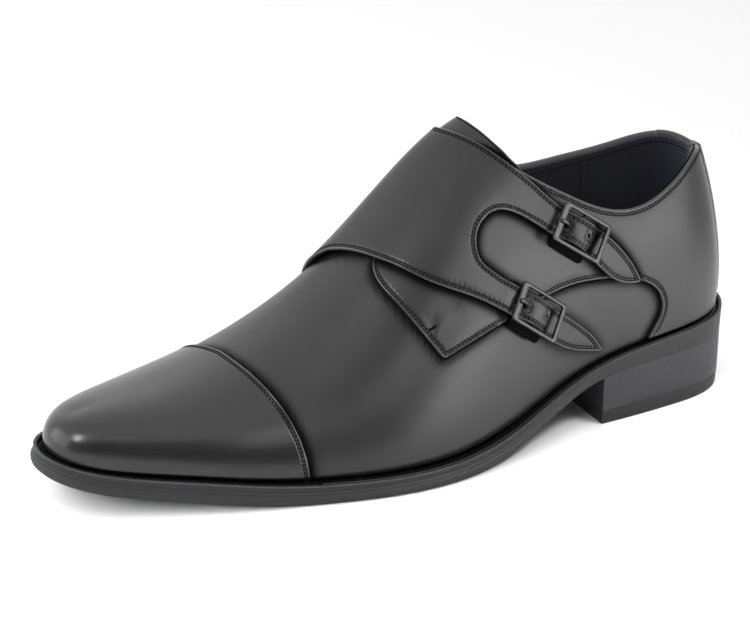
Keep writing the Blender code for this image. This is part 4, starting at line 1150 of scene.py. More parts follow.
def joined(bodies: Sequence[Body]) -> Body:
    """Several bodies' points and faces as one."""
    faces, start = [], 0
    for points, more in bodies:
        faces += [tuple(start + i for i in face) for face in more]
        start += len(points)
    return np.concatenate([points for points, _ in bodies]), faces


def loft(levels: int, count: int, closed_up: bool = False) -> Faces:
    """Quads between each two levels of a stack of loops that runs anticlockwise from above."""
    faces = []
    for level in range(levels if closed_up else levels - 1):
        low, high = level * count, (level + 1) % levels * count
        faces += [(low + j, low + i, high + i, high + j) for i, j in zip(range(count), [*range(1, count), 0])]
    return faces


def lid(start: int, count: int, up: bool) -> Faces:
    """Close a level with strips that join its two sides."""
    faces = [(start, start + 1, start + count - 1)]
    faces += [(start + i, start + i + 1, start + count - i - 1, start + count - i) for i in range(1, (count - 1) // 2)]
    if count % 2 == 0:
        half = start + count // 2
        faces.append((half - 1, half, half + 1))
    return [face[::-1] for face in faces] if up else faces


def stack(loops: Sequence[Array]) -> Body:
    """A closed body of level loops, from the lowest up; its two lids come last."""
    count = len(loops[0])
    faces = loft(len(loops), count) + lid(0, count, False) + lid((len(loops) - 1) * count, count, True)
    return np.concatenate(loops), faces


# --- stitches ---


class StitchTree(Nodes):
    """Geometry Nodes that sew along a path with small arched stitches."""

    NORMAL = "leather_normal"
    SEED = 7

    def __init__(self, bench: Workbench) -> None:
        """Build the node tree once, for stitches made on this bench."""
        super().__init__(bpy.data.node_groups.new("stitch_row", "GeometryNodeTree"))
        self.bench = bench
        faces = self.tree.interface
        faces.new_socket("Geometry", in_out="INPUT", socket_type="NodeSocketGeometry")
        self.inputs: dict[str, str] = {}
        for name, kind, value in (("Pitch", "Float", 2.0 * MM), ("Length", "Float", 1.6 * MM),
                                  ("Width", "Float", 0.5 * MM), ("Height", "Float", 0.4 * MM),
                                  ("Seed", "Int", self.SEED), ("Thread", "Material", None)):
            socket = faces.new_socket(name, in_out="INPUT", socket_type=f"NodeSocket{kind}")
            if value is not None:
                socket.default_value = value
            self.inputs[name] = socket.identifier
        faces.new_socket("Geometry", in_out="OUTPUT", socket_type="NodeSocketGeometry")
        given = self.add("NodeGroupInput").outputs
        curve = self.add("GeometryNodeMeshToCurve", Mesh=given["Geometry"])
        even = self.add("GeometryNodeResampleCurve", mode="LENGTH", Curve=curve.outputs["Curve"],
                        Length=given["Pitch"])
        grain = self.add("GeometryNodeMeshUVSphere", Segments=6, Rings=6, Radius=0.5)
        turn = self.add("GeometryNodeTransform", Geometry=grain.outputs["Mesh"], Rotation=(0.0, math.pi / 2, 0.0))
        sizes = self.add("ShaderNodeCombineXYZ", X=given["Length"], Y=given["Width"], Z=given["Height"])
        shape = self.add("GeometryNodeTransform", Geometry=turn.outputs["Geometry"], Scale=sizes.outputs["Vector"])
        tangent = self.add("GeometryNodeInputTangent")
        normal = self.add("GeometryNodeInputNamedAttribute", data_type="FLOAT_VECTOR", Name=self.NORMAL)
        axes = self.add("FunctionNodeAxesToRotation", primary_axis="X", secondary_axis="Z",
                        Primary_Axis=tangent.outputs["Tangent"], Secondary_Axis=normal.outputs["Attribute"])
        wobble = self.add("FunctionNodeRandomValue", data_type="FLOAT_VECTOR", Min=(-0.03, -0.04, -0.10),
                          Max=(0.03, 0.04, 0.02), Seed=given["Seed"])
        rotate = self.add("FunctionNodeRotateRotation", rotation_space="LOCAL", Rotation=axes.outputs["Rotation"],
                          Rotate_By=wobble.outputs["Value"])
        sew = self.add("GeometryNodeInstanceOnPoints", Points=even.outputs["Curve"],
                       Instance=shape.outputs["Geometry"], Rotation=rotate.outputs["Rotation"])
        real = self.add("GeometryNodeRealizeInstances", Geometry=sew.outputs["Instances"])
        smooth = self.add("GeometryNodeSetShadeSmooth", Geometry=real.outputs["Geometry"])
        dress = self.add("GeometryNodeSetMaterial", Geometry=smooth.outputs["Geometry"], Material=given["Thread"])
        self.add("NodeGroupOutput", Geometry=dress.outputs["Geometry"])

    def sew(self, name: str, paths: Sequence[tuple[Array, Array]], pitch: float = 1.7, length: float = 1.22,
            width: float = 0.70, height: float = 0.42) -> None:
        """Sew stitches along paths and put them in the scene as one piece.

        Args:
            name: the piece's name.
            paths: points and leather normals of each path, in the last's axes.
            pitch: distance between stitches.
            length: length of a stitch; width and height are its other sizes.
        """
        edges, start = [], 0
        for points, _ in paths:
            edges += [(start + i, start + i + 1) for i in range(len(points) - 1)]
            start += len(points)
        guide_mesh = bpy.data.meshes.new(name + "_guide")
        guide_mesh.from_pydata(np.concatenate([in_metres(points) for points, _ in paths]).tolist(), edges, [])
        attribute = guide_mesh.attributes.new(self.NORMAL, "FLOAT_VECTOR", "POINT")
        normals = np.concatenate([normal for _, normal in paths])
        attribute.data.foreach_set("vector", normals.astype(np.float32).ravel())
        guide = stood(name + "_guide", guide_mesh)
        nodes = guide.modifiers.new("stitches", "NODES")
        nodes.node_group = self.tree
        for key, value in (("Pitch", pitch), ("Length", length), ("Width", width), ("Height", height)):
            nodes[self.inputs[key]] = value * MM
        nodes[self.inputs["Seed"]] = self.SEED
        nodes[self.inputs["Thread"]] = self.bench.material(THREAD)
        bpy.context.view_layer.update()
        evaluated = guide.evaluated_get(bpy.context.evaluated_depsgraph_get())
        mesh = bpy.data.meshes.new_from_object(evaluated)
        mesh.name = name
        bpy.data.objects.remove(guide)
        self.bench.publish(name, mesh, THREAD)


# --- the leather upper ---


class Crease(NamedTuple):
    """A soft fold: its two ends, how far it sinks, and how wide it is."""

    start: Spot
    end: Spot
    depth: float
    width: float


def stretches(wanted: Array) -> list[Array]:
    """Indices of each unbroken stretch of the wanted corners of a closed loop."""
    if wanted.all():
        return [np.r_[:len(wanted), 0]]
    order = np.roll(np.arange(len(wanted)), -int(np.flatnonzero(~wanted)[0]))
    breaks = np.flatnonzero(np.diff(np.r_[0, wanted[order].astype(int), 0]))
    return [order[low:high] for low, high in zip(breaks[::2], breaks[1::2])]


@dataclass
class Panel:
    """A leather panel laid over the last."""

    FOREPART = (170.0, 40.0)  # where the foot's shade widens, and over what length
    FOOT_SHADE = (0.7, 1.1)   # height of the foot's shade, and its gain ahead
    FOOT_RISE = 0.4           # how far the shade stands off the rim ahead
    ROW_SHADE = (0.9, 0.27)   # strength and reach of the shade along a stitch row
    POLISHED = (0.55, 0.3)    # the polish's end, short of the first row, and its fade
    SHADOW_STRIP_PLACE = (0.38, 0.02)  # how far out and how deep the strip of painted shadow beside the edge lies
    SHADOW_STRIP_SIZE = (0.62, 0.24)
    THREAD_DEPTH = 0.55       # how deep stitches lie, as a share of their groove

    last: Last
    cutter: Cutter
    bench: Workbench
    stitches: StitchTree
    name: str = ""
    node: str = ""
    thickness: float = 1.4
    lift: float = 0.12
    back_seam: float = 0.006
    foot: float = 0.012
    form: EdgeForm = EdgeForm()
    face: Finish = UPPER_LEATHER
    back: Finish = LINING_LEATHER
    creases: tuple[Crease, ...] = ()
    over: tuple[Border, ...] = ()
    # whether a dark strip of painted shadow lies beside the sewn edge
    has_shadow_strip: bool = False
    shadow: float = 1.5
    rows: tuple[float, ...] = (1.2, 2.1)

    def base(self, seam: Array, girth: Array) -> Array:
        """Height of the panel's underside over the last."""
        return np.full(np.shape(seam), self.lift)

    def relief(self, spots: Array) -> Array:
        """Rise and fall of soft folds at each spot."""
        rise = np.zeros(len(spots))
        points = self.last.surface(*spots.T)
        for crease in self.creases:
            path = self.last.surface(*np.linspace(crease.start, crease.end, 24).T)
            away = np.linalg.norm(points[:, None] - path[None], axis=2)
            fade = np.sin(math.pi * (away.argmin(axis=1) + 0.5) / len(path)) ** 0.7
            rise -= crease.depth * fade * np.exp(-(away.min(axis=1) / crease.width) ** 2)
        return rise

    def hollow_shade(self, points: Array) -> Array:
        """How much painted shade each point gets for lying in a deep hollow."""
        return np.zeros(len(points))

    def make(self, sheet: Sheet) -> None:
        """Give a sheet its thickness, dress it and put it in the scene."""
        base = self.base(*sheet.spots.T)
        top = base + self.thickness + self.relief(sheet.spots)
        points, faces, under = sheet_body(sheet, self.last, base, top, self.form)
        self.bench.piece(self.name, points, faces, [self.face, self.back], [self.node], under,
                         marks=self.marks(sheet, points))

    def marks(self, sheet: Sheet, points: Array) -> dict[str, Array]:
        """Marks the painted shade, where the leather is dull and dark by its foot, its stitch rows, laid-on edges and
        hollows, and where its edges are polished.

        Args:
            sheet: the panel's sheet.
            points: its body's corners, the face's first.

        Returns:
            Each mark's value at each corner.
        """
        count = len(sheet.spots)
        top = points[:count]
        # painted shade along the foot, beside the sole's groove, wider ahead
        ahead = smooth_step((top[:, 0] - self.FOREPART[0]) / self.FOREPART[1])
        foot = top[:, 2] - self.last.rim_height(top[:, 0]) - self.FOOT_RISE * ahead
        shade_paint = 1 - smooth_step(foot / (self.FOOT_SHADE[0] + self.FOOT_SHADE[1] * ahead))
        polish = np.zeros(count)
        # painted shade in the grooves along the stitch rows
        strength, reach = self.ROW_SHADE
        for place, share in sheet.rows:
            shade_paint = np.maximum(shade_paint, strength * share * np.exp(-((sheet.edge - place) / reach) ** 2))
        if sheet.rows:
            first, sewn = first_row(sheet.rows)
            polish = sewn * (1 - smooth_step((sheet.edge - first + self.POLISHED[0]) / self.POLISHED[1]))
        # painted shadow beside the edges of the panels laid on this one
        for edge in self.over:
            beyond = np.maximum(nearest(top, edge.points)[1] - 1.0, 0.0)
            shade_paint = np.maximum(shade_paint, np.exp(-(beyond / self.shadow) ** 2))
        # painted shade in deep hollows
        shade_paint = np.maximum(shade_paint, self.hollow_shade(top))
        rest = np.zeros(len(points) - count)
        return {PAINTED_SHADE: np.r_[shade_paint, rest], POLISH: np.r_[polish, rest]}

    def make_cut(self, runs: Sequence[Run], holes: Sequence[Array] = (), extra: Sequence[Array] = ()) -> Border:
        """Cut the panel from its outline, build it, sew it and lay a strip of painted shadow beside its edge.

        Args:
            runs: stretches of its outline.
            holes: spots round each hole.
            extra: more spots to use where the panel bends sharply.

        Returns:
            The outline's sewn stretches alone.
        """
        outline = self.cutter.outline(runs, self.base)
        self.make(self.cutter.cut(outline, self.base, holes, extra))
        sewn = outline.sewn()
        if not sewn.any():
            return outline
        step = self.cutter.inwards(outline)
        self.stitches.sew(f"{self.node}_stitches", self.seam_paths(outline, step))
        # a dark strip of painted shadow beside the sewn edge
        if self.has_shadow_strip:
            out, sink = self.SHADOW_STRIP_PLACE
            spots = outline.spots - out * step
            bars = [bar(self.last.point(*spots[pick].T, self.base(*spots[pick].T) - sink), self.SHADOW_STRIP_SIZE, 6,
                        up=self.last.normal(*spots[pick].T)) for pick in stretches(sewn)]
            self.bench.piece(f"{self.node}_edge_shadow", *joined(bars), [EDGE_SHADOW_PAINT])
        return Border(outline.spots[sewn], outline.points[sewn], [row for row in outline.rows if row])

    def seam_paths(self, outline: Border, step: Array) -> list[tuple[Array, Array]]:
        """Points and normals of the stitch paths along an outline's sewn edges."""
        paths = []
        for place in outline.places():
            spots = outline.spots + step * place
            away = loop_distances(self.last.lifted(spots, self.base), outline.points)
            sewn = np.array([place in row for row in outline.rows]) & (away > 0.9 * place)
            for pick in stretches(sewn):
                if len(pick) > 3:
                    top = self.base(*spots[pick].T) + self.thickness - self.form.groove * self.THREAD_DEPTH
                    paths.append(self.raised(spots[pick], top + self.relief(spots[pick])))
        return paths

    def raised(self, spots: Array, height: Array | float) -> tuple[Array, Array]:
        """Points over the last at the spots, and the normals there."""
        return self.last.point(*spots.T, height), self.last.normal(*spots.T)


def woven(grids: dict[Side, Array], last: Last, gaps: dict[Side, Array], reach: float = 0.004) -> tuple[Array, Array]:
    """Faces over each side's grid of spots, welded where the grids meet.

    Args:
        grids: seam and girth of each spot, seam by climb, of each side.
        last: the shoe's last.
        gaps: faces to leave out, of each side that has any.
        reach: how near two spots count as one.

    Returns:
        Spots and faces.
    """
    faces, count = [], 0
    for side, grid in grids.items():
        index = count + np.arange(grid[..., 0].size).reshape(grid.shape[:2])
        quads = np.stack([index[:-1, :-1], index[1:, :-1], index[1:, 1:], index[:-1, 1:]], -1)
        quads = quads[~gaps[side]] if side in gaps else quads.reshape(-1, 4)
        faces.append(quads[:, ::-1] if side is Side.OUTER else quads)
        count += index.size
    spots = np.concatenate([grid.reshape(-1, 2) for grid in grids.values()])
    points = np.round(last.surface(*spots.T) / reach).astype(np.int64)
    _, first, back = np.unique(points, axis=0, return_index=True, return_inverse=True)
    faces = back.reshape(-1)[np.concatenate(faces)]
    return spots[first], faces[(np.diff(np.sort(faces, axis=1), axis=1) > 0).all(axis=1)]


@dataclass
class Vamp(Panel):
    """Vamp and the linings behind the quarters, in one hollow wall with the throat's slot."""

    name: str = "vamp_and_lining"
    node: str = "upper"
    thickness: float = 2.0
    lift: float = -2.0
    columns: int = 250
    climbs: int = 48
    shadow: float = 2.4
    slot: Place = (0.40, 0.49, 0.90)
    form: EdgeForm = EdgeForm(roll=0.9)

    def climb(self, side: Side, seams: Array) -> Array:
        """Climb of each grid row at each seam: even, then closer towards the collar."""
        collar = self.last.collar_climb(seams, side)[:, None]
        girths = side.girth(np.linspace(0, 1, 30))
        length = np.array([run_length(self.last.surface(seam, girths))[-1] for seam in seams])
        top = collar - np.array(self.cutter.near_rows + self.cutter.far_rows)[::-1] / length[:, None]
        return np.hstack([np.linspace(0, 1, self.climbs)[:-1] * top[:, :1], top, collar])

    def build(self) -> None:
        """Build the wall."""
        start, end, climb_top = self.slot
        seams = np.sort(np.r_[spaced(self.columns), start, end, THROAT])
        climbs = {side: self.climb(side, seams) for side in Side}
        grids = {side: np.dstack([np.broadcast_to(seams[:, None], climb.shape), side.girth(climb)])
                 for side, climb in climbs.items()}
        middle = (seams[:-1] + seams[1:]) / 2
        gap = ((middle > start) & (middle < end))[:, None] & (climbs[Side.OUTER][:-1, :-1] > climb_top)
        self.make(self.cutter.measured(*woven(grids, self.last, {Side.OUTER: gap}), self.base))


@dataclass
class ToeCap(Panel):
    """Cap over the toe, with two close rows of stitches along its straight seam."""

    name: str = "toe_cap_leather"
    node: str = "toe_cap"
    thickness: float = 1.3
    face: Finish = CAP_LEATHER
    columns: int = 70
    climbs: int = 44

    def seams(self, line: Array) -> Array:
        """Seams of a grid that is close behind the cap's line, a row for each of its spots."""
        scale = np.linalg.norm(self.last.slopes(*line.T)[0], axis=1)
        near = line[:, :1] + np.array((0.0,) + self.cutter.near_rows + self.cutter.far_rows) / scale[:, None]
        share = np.linspace(0, 1, self.columns)[1:]
        share = share - 0.25 * np.sin(math.pi * share) / math.pi
        return np.hstack([near, near[:, -1:] + (1.0 - near[:, -1:]) * share])

    def build(self) -> Border:
        """Build the cap and sew it; gives its edge."""
        lines, grids = {}, {}
        for side in Side:
            girth = side.girth(np.linspace(self.foot, 1.0, self.climbs))
            lines[side] = np.column_stack([self.last.cap_seam(girth)[:, 0], girth])
            seam = self.seams(lines[side]).T
            grids[side] = np.dstack([seam, np.broadcast_to(girth, seam.shape)])
        spots, faces = woven(grids, self.last, {})
        line = np.vstack([lines[Side.OUTER], lines[Side.INNER][::-1][1:]])
        edge = Border(line, self.last.point(*line.T, self.lift), [self.rows] * len(line))
        sheet = self.cutter.measured(spots, faces, self.base)
        share = (nearest(self.last.lifted(spots, self.base), edge.points)[1] < sheet.edge + 1.0).astype(float)
        sheet.rows = [(place, share) for place in self.rows]
        self.make(sheet)
        self.sew(line)
        return edge

    def sew(self, line: Array) -> None:
        """Two rows of stitches, and a dark strip of painted shadow beside the seam's edge."""
        ahead = np.column_stack([1 / np.linalg.norm(self.last.slopes(*line.T)[0], axis=1), np.zeros(len(line))])
        top = self.lift + self.thickness - self.form.groove * 0.4
        paths = [self.raised(line + ahead * place, top) for place in self.rows]
        self.stitches.sew("toe_cap_stitches", paths)
        path = self.last.point(*(line - 0.30 * ahead).T, 0.02)
        cap_shadow_strip = bar(path, (0.42, 0.26), 6, up=self.last.normal(*line.T))
        self.bench.piece("toe_cap_edge_shadow", *cap_shadow_strip, [EDGE_SHADOW_PAINT])


@dataclass
class OuterQuarter(Panel):
    """Outer quarter: heel counter, lobe and the pointed front under the straps."""

    name: str = "outer_quarter_leather"
    node: str = "outer_quarter"
    thickness: float = 1.45
    has_shadow_strip: bool = True
    shadow: float = 2.3
    tack: tuple[Spot, Spot] = (Spot(.503, .454), Spot(.489, .448))
    beside_flap: tuple[float, ...] = (-5.0, -3.6, -2.5, -1.6, -0.8, 0.0, 1.2)
    creases: tuple[Crease, ...] = (
        Crease(Spot(.506, .456), Spot(.485, .447), .9, 1.3),
        Crease(Spot(.512, .442), Spot(.496, .437), .4, 1.5),
        Crease(Spot(.507, .480), Spot(.491, .472), .4, 1.5),
        Crease(Spot(.484, .448), Spot(.458, .455), .3, 2.4),
    )

    def build(self) -> Border:
        """Cut, build and sew the quarter, and tack its corner down; gives its sewn edge."""
        collar = self.last.collar_run(Side.OUTER, 0.405, self.back_seam)
        lobe = [Spot(QUARTER_LOBE[0].seam, self.foot)] + QUARTER_LOBE[1:]
        flap = self.over[0]
        into = self.cutter.inwards(flap)
        edge = self.make_cut([
            Run(collar, self.rows),
            Run([collar[-1], (self.back_seam, self.foot)]),
            Run([(self.back_seam, self.foot), lobe[0]]),
            Run(lobe, self.rows),
            Run(QUARTER_FRONT, self.rows),
        ], extra=[flap.spots + into * away for away in self.beside_flap])
        bars = [np.linspace(*self.tack, 24) + (0.0, shift) for shift in (-0.0025, 0.0025)]
        paths = [self.raised(spots, self.lift + self.thickness + self.relief(spots)) for spots in bars]
        self.stitches.sew("bar_tack", paths, pitch=0.6, length=0.75, width=0.85, height=0.8)
        return edge


@dataclass
class StrapFlap(Panel):
    """Inner quarter, whose front crosses the instep and ends in two pointed straps."""

    STEP = (1.32, 0.30)       # girth where it steps up onto the quarter, and the step's run
    CROWN = (0.5, 6.0, 6.2)   # middle of a strap's round back, half its length and width
    DENT = 0.25               # depth of the dents at the holes
    DIPS = (8.6, 2.1), (-8.7, 1.0)  # places and reaches of the painted shade where the straps dip under the frame's bars
    FRONT_DIP = 0.6           # how dark the painted shade at the front dip is, beside the rear one
    DIP_EDGE = (7.0, 1.5)     # where the dips' painted shade ends across the strap, and its fade

    seats: tuple[BuckleSeat, ...] = ()
    name: str = "strap_flap_leather"
    node: str = "strap_flap"
    thickness: float = 1.5
    low: float = 0.3
    high: float = 2.1
    strap_half_width: float = 8.0
    strap_fade: float = 4.0
    other_side: float = 20.0
    form: EdgeForm = EdgeForm(roll=0.9, puff=0.20, groove=0.24)
    prong_hole: tuple[float, float, float, float] = (-7.9, 0.1, 1.5, 0.9)
    spare_hole: tuple[float, float, float, float] = (3.6, 1.2, 0.62, 0.62)
    crown: float = 0.55

    def base(self, seam: Array, girth: Array) -> Array:
        """On the upper on the inner side, over the quarter on the outer side, up over the bars."""
        lift = self.low + (self.high - self.low) * smooth_step((self.STEP[0] - girth) / self.STEP[1])
        rise = Spline.table(STRAP_PUFF, (0.0, 0.0))
        for along, across, near in self.on_straps(self.last.surface(seam, girth)):
            on_strap = 1 - smooth_step((np.abs(across) - self.strap_half_width) / self.strap_fade)
            lift = lift + rise(along)[:, 0] * on_strap * near
        return lift

    def on_straps(self, points: Array) -> list[tuple[Array, Array, Array]]:
        """For each strap, distances of points along and across it, and which are on its side of the shoe."""
        offsets = [seat.offsets(points) for seat in self.seats]
        return [(along, across, height > -self.other_side) for along, across, height in offsets]

    def relief(self, spots: Array) -> Array:
        """The straps' round backs over the bars, and dents at their holes."""
        rise = super().relief(spots)
        middle, half_length, half_width = self.CROWN
        for along, across, near in self.on_straps(self.last.surface(*spots.T)):
            rounded = np.clip(1 - (across / half_width) ** 2, 0, 1) * np.exp(-((along - middle) / half_length) ** 4)
            rise += self.crown * near * rounded
            for hole, reach in ((self.prong_hole, 1.5), (self.spare_hole, 1.2)):
                rise -= self.DENT * near * np.exp(-(np.hypot(along - hole[0], across - hole[1]) / reach) ** 2)
        return rise

    def hollow_shade(self, points: Array) -> Array:
        """The straps get painted shade where they dip under the frames' bars."""
        dark = np.zeros(len(points))
        (rear, rear_reach), (front, front_reach) = self.DIPS
        half, fade = self.DIP_EDGE
        for along, across, near in self.on_straps(points):
            dip = np.exp(-((along - rear) / rear_reach) ** 4)
            dip += self.FRONT_DIP * np.exp(-((along - front) / front_reach) ** 2)
            dark += near * dip * smooth_step((half - np.abs(across)) / fade)
        return np.minimum(dark, 1.0)

    def build(self) -> Border:
        """Cut, build and sew the flap; gives its sewn edge."""
        collar = self.last.collar_run(Side.INNER, self.back_seam, 0.332)
        back, front = (self.back_seam, 2 - self.foot), (FLAP_FRONT[0].seam, 2 - self.foot)
        edges = {seat.name: seat.strap_edges() for seat in self.seats}
        upper, lower = edges["upper_strap"], edges["lower_strap"]
        runs = [
            Run(np.vstack([[front], FLAP_FRONT[1:], lower[0]]), self.rows),
            Run(np.vstack([lower[1], STRAP_NOTCH, upper[0]]), self.rows),
            Run(np.vstack([upper[1], FLAP_TOP, [collar[-1]]]), self.rows),
            Run(collar[::-1], self.rows),
            Run([collar[0], back]),
            Run([back, front]),
        ]
        holes = [seat.oval(*hole) for seat in self.seats for hole in (self.prong_hole, self.spare_hole)]
        extra = [(along, across) for along in np.arange(-13.0, 12.0, 0.75) for across in np.arange(-4.2, 4.6, 0.75)]
        return self.make_cut(runs, holes, [np.array([seat.spot(*place) for place in extra]) for seat in self.seats])


@dataclass
class Tongue(Panel):
    """Tongue inside the collar and under the throat, its end standing beyond the flap."""

    name: str = "tongue_leather"
    node: str = "tongue"
    thickness: float = 1.3
    gap: float = 4.6
    rise: float = 5.3
    run: float = 4.5
    rows: tuple[float, ...] = (1.0,)

    def base(self, seam: Array, girth: Array) -> Array:
        """Inside the collar, then up to the flap away from it."""
        outer, inner = (self.last.collar_climb(seam, side) for side in Side)
        collar = np.where(girth <= 1, outer, inner)
        clear = (np.minimum(girth, 2 - girth) - collar) * CHART[1]
        return self.rise * smooth_step((clear - 0.3) / self.run) - self.gap

    def build(self) -> None:
        """Cut, build and sew the tongue."""
        self.make_cut([Run(TONGUE_END, self.rows), Run(TONGUE_ROOT)])


@dataclass
class Backstay(Panel):
    """Narrow strip over the back seam."""

    name: str = "backstay_leather"
    node: str = "backstay"
    thickness: float = 1.0
    lift: float = 1.75
    width: float = 13.0
    foot: float = 0.02
    form: EdgeForm = EdgeForm(roll=0.6, puff=0.3)
    rows: tuple[float, ...] = (1.2,)

    def build(self) -> None:
        """Cut, build and sew the strip."""
        half, high = self.width / 2 / CHART[0], TOPLINE[0].outer
        corners = np.array([(-half, self.foot), (half, self.foot), (half, high), (-half, high)])
        self.make_cut([Run(corners[[i, (i + 1) % 4]], self.rows if i else ()) for i in range(4)])


@dataclass
class Collar:
    """Folded leather round the top of the shoe, and the seams inside it."""

    last: Last
    bench: Workbench
    stitches: StitchTree
    outer_end: float = 0.40
    inner_end: float = 0.335
    middle: float = 0.32
    half_width: float = 1.35
    half_height: float = 0.62
    sink: float = 0.3
    tab_end: float = 0.093
    tab_start: float = 0.018
    tab_fades: tuple[float, float] = (0.003, 0.006)
    tab_width: float = 0.25
    tab_rise: float = 0.45
    lining: float = -2.03
    row_drop: float = 2.6
    inside_seam: float = 0.195
    inside_girths: tuple[float, float] = (1.46, 1.93)
    inside_size: tuple[float, float] = (0.7, 0.3)

    def build(self) -> None:
        """Lay the fold along the collar and sew the lining."""
        outer = self.last.collar_run(Side.OUTER, self.outer_end, 0.0, 260)
        inner = self.last.collar_run(Side.INNER, 0.0, self.inner_end, 240)[1:]
        spots = np.vstack([outer, np.column_stack([-inner[:, 0], 2 - inner[:, 1]])])
        path, side = self.last.point(*spots.T, self.middle), self.last.normal(*spots.T)
        up = unit(np.cross(np.gradient(path, axis=0), side))
        up *= np.sign(up[:, 2:])
        tab = smooth_step((spots[:, 0] + self.tab_end) / self.tab_fades[0])
        tab *= smooth_step((self.tab_start - spots[:, 0]) / self.tab_fades[1])
        sizes = np.column_stack([self.half_width + self.tab_width * tab, self.half_height + self.tab_rise * tab])
        self.bench.piece("collar_fold", *bar(path - up * self.sink, sizes, 18, side, up), [COLLAR_LEATHER])
        self.sew_lining()

    def sew_lining(self) -> None:
        """A row of stitches under the far rim, and the upright seam inside."""
        run = self.last.collar_run(Side.INNER, 0.02, self.inner_end, 200) + (0.0, self.row_drop / CHART[1])
        paths = [(self.last.point(*run.T, self.lining), -self.last.normal(*run.T))]
        self.stitches.sew("lining_stitches", paths)
        girth = np.linspace(*self.inside_girths, 60)
        upright = np.full_like(girth, self.inside_seam), girth
        seam = bar(self.last.point(*upright, self.lining), self.inside_size, up=self.last.normal(*upright))
        self.bench.piece("lining_seam", *seam, [LINING_LEATHER])


# --- the sole ---


class EdgeStep(NamedTuple):
    """A level of the sole's side: its inset, its share of the edge's height, and its finish."""

    inset: float
    share: float
    paint: int = 0


SOLE_EDGE = table(
    EdgeStep,
    (2.2, 0.0), (1.2, 0.0), (0.4, .010), (-0.25, .045), (-0.70, .10), (-1.02, .17), (-1.22, .25), (-1.28, .33),
    (-1.22, .41), (-1.04, .485), (-0.80, .55), (-0.78, .56), (-0.58, .567), (-0.62, .58), (-0.40, .64),
    (-0.18, .70), (-0.16, .712), (0.04, .72), (-0.02, .735), (0.12, .79), (0.14, .84), (0.06, .90), (-0.02, .945),
    (0.0, .975, 1), (0.10, .995, 1), (0.35, 1.003, 1), (0.8, 1.004, 1), (1.25, 1.0, 1), (1.5, .985, 2),
    (1.62, .955, 2),
)


@dataclass
class Sole:
    """Outsole with its rim, groove and welt cord, and the sock inside."""

    last: Last
    bench: Workbench
    columns: int = 190
    groove: float = 1.9
    land_drop: float = 0.55
    fit: float = 0.35
    insole: float = 2.6
    wall: float = 2.0
    lip: float = 1.7
    heel_end: float = 66.0
    heel_blend: float = 30.0
    flush: float = 0.45
    cord: float = 0.40
    cord_depth: float = 0.62
    cord_corners: int = 12
    gloss_until: float = 0.655

    def loop(self, inset: Level, height: Level) -> Array:
        """One closed level: outer side to the toe, inner side back; inset by seam and height by station."""
        steps = spaced(self.columns)
        sides = (Side.OUTER, steps), (Side.INNER, steps[-2:0:-1])
        plan = np.concatenate([self.last.rim(seams, side, inset(seams)) for side, seams in sides])
        return np.column_stack([plan, height(plan[:, 0])])

    def rim_loop(self, inset: Level, rise: float) -> Array:
        """A closed level that stands a steady rise over the rim."""
        return self.loop(inset, lambda station: self.last.rim_height(station) + rise)

    def build(self) -> None:
        """Build the outsole, the welt cord and the sock."""
        self.build_outsole()
        self.build_cord()
        self.build_sock()

    def side_loop(self, step: EdgeStep) -> Array:
        """A level of the outsole's side, which lies flush over the heel block."""
        share, station, _ = self.last.sides[Side.OUTER]
        flush = step.inset if step.share == 0 or step.share > 0.94 else self.flush * (1 - step.share)

        def inset(seams: Array) -> Array:
            """Inset of the level."""
            ahead = smooth_step((np.interp(seams, share, station) - self.heel_end) / self.heel_blend)
            return flush + (step.inset - flush) * ahead

        def height(station: Array) -> Array:
            """Height of the level."""
            low = self.last.underside(station)
            return low + (self.last.rim_height(station) - low) * step.share

        return self.loop(inset, height)

    def build_outsole(self) -> None:
        """Outsole with rounded side, fine lines, pale rim, and a groove coloured near black as painted shade."""
        def behind(seam: Array) -> Array:
            """Inset of the groove's far side."""
            return self.last.feather_inset(seam) - self.fit

        loops = [self.side_loop(step) for step in SOLE_EDGE]
        loops += [self.rim_loop(lambda seam: np.full_like(seam, self.lip), -self.groove),
                  self.rim_loop(behind, -self.groove), self.rim_loop(behind, -self.land_drop)]
        points, faces = stack(loops)
        paints = np.repeat([step.paint for step in SOLE_EDGE[1:]] + [2, 2, 2], len(loops[0]))
        lids = np.repeat([3, 2], (len(faces) - len(paints)) // 2)
        self.bench.piece("outsole_body", points, faces, [SOLE_SIDE, SOLE_LIP, SHADED_SOLE_GROOVE, SOLE_BOTTOM], ["outsole"],
                         np.r_[paints, lids], sharp=50)

    def build_cord(self) -> None:
        """The cord in the groove: glossy along the quarters, matt round the cap."""
        def middle(seam: Array) -> Array:
            """Inset of the cord's middle."""
            return (self.lip + self.fit + self.last.feather_inset(seam) - 2 * self.fit) / 2

        angles = -2 * math.pi * np.arange(self.cord_corners) / self.cord_corners
        loops = [self.rim_loop(lambda seam, angle=angle: middle(seam) - self.cord * math.cos(angle),
                               self.cord * math.sin(angle) - self.cord_depth) for angle in angles]
        steps = spaced(self.columns)
        matt = np.tile(np.r_[steps, steps[-2:0:-1]] > self.gloss_until, self.cord_corners)
        self.bench.piece("welt_cord", np.concatenate(loops), loft(self.cord_corners, len(loops[0]), True),
                         [WELT_GLOSS, WELT_MATT], ["welt_bead"], matt)

    def build_sock(self) -> None:
        """Padded sock over the insole board."""
        low = self.fit - self.land_drop
        high = low + self.insole
        margin = self.wall + 2 * self.fit
        loops = [self.rim_loop(lambda seam, extra=extra: self.last.feather_inset(seam) + margin + extra, rise)
                 for extra, rise in ((0.0, low), (0.0, high - 0.5), (0.15, high - 0.2), (0.5, high), (1.2, high + 0.1))]
        self.bench.piece("sock_lining", *stack(loops), [LINING_LEATHER], ["insole"], sharp=60)


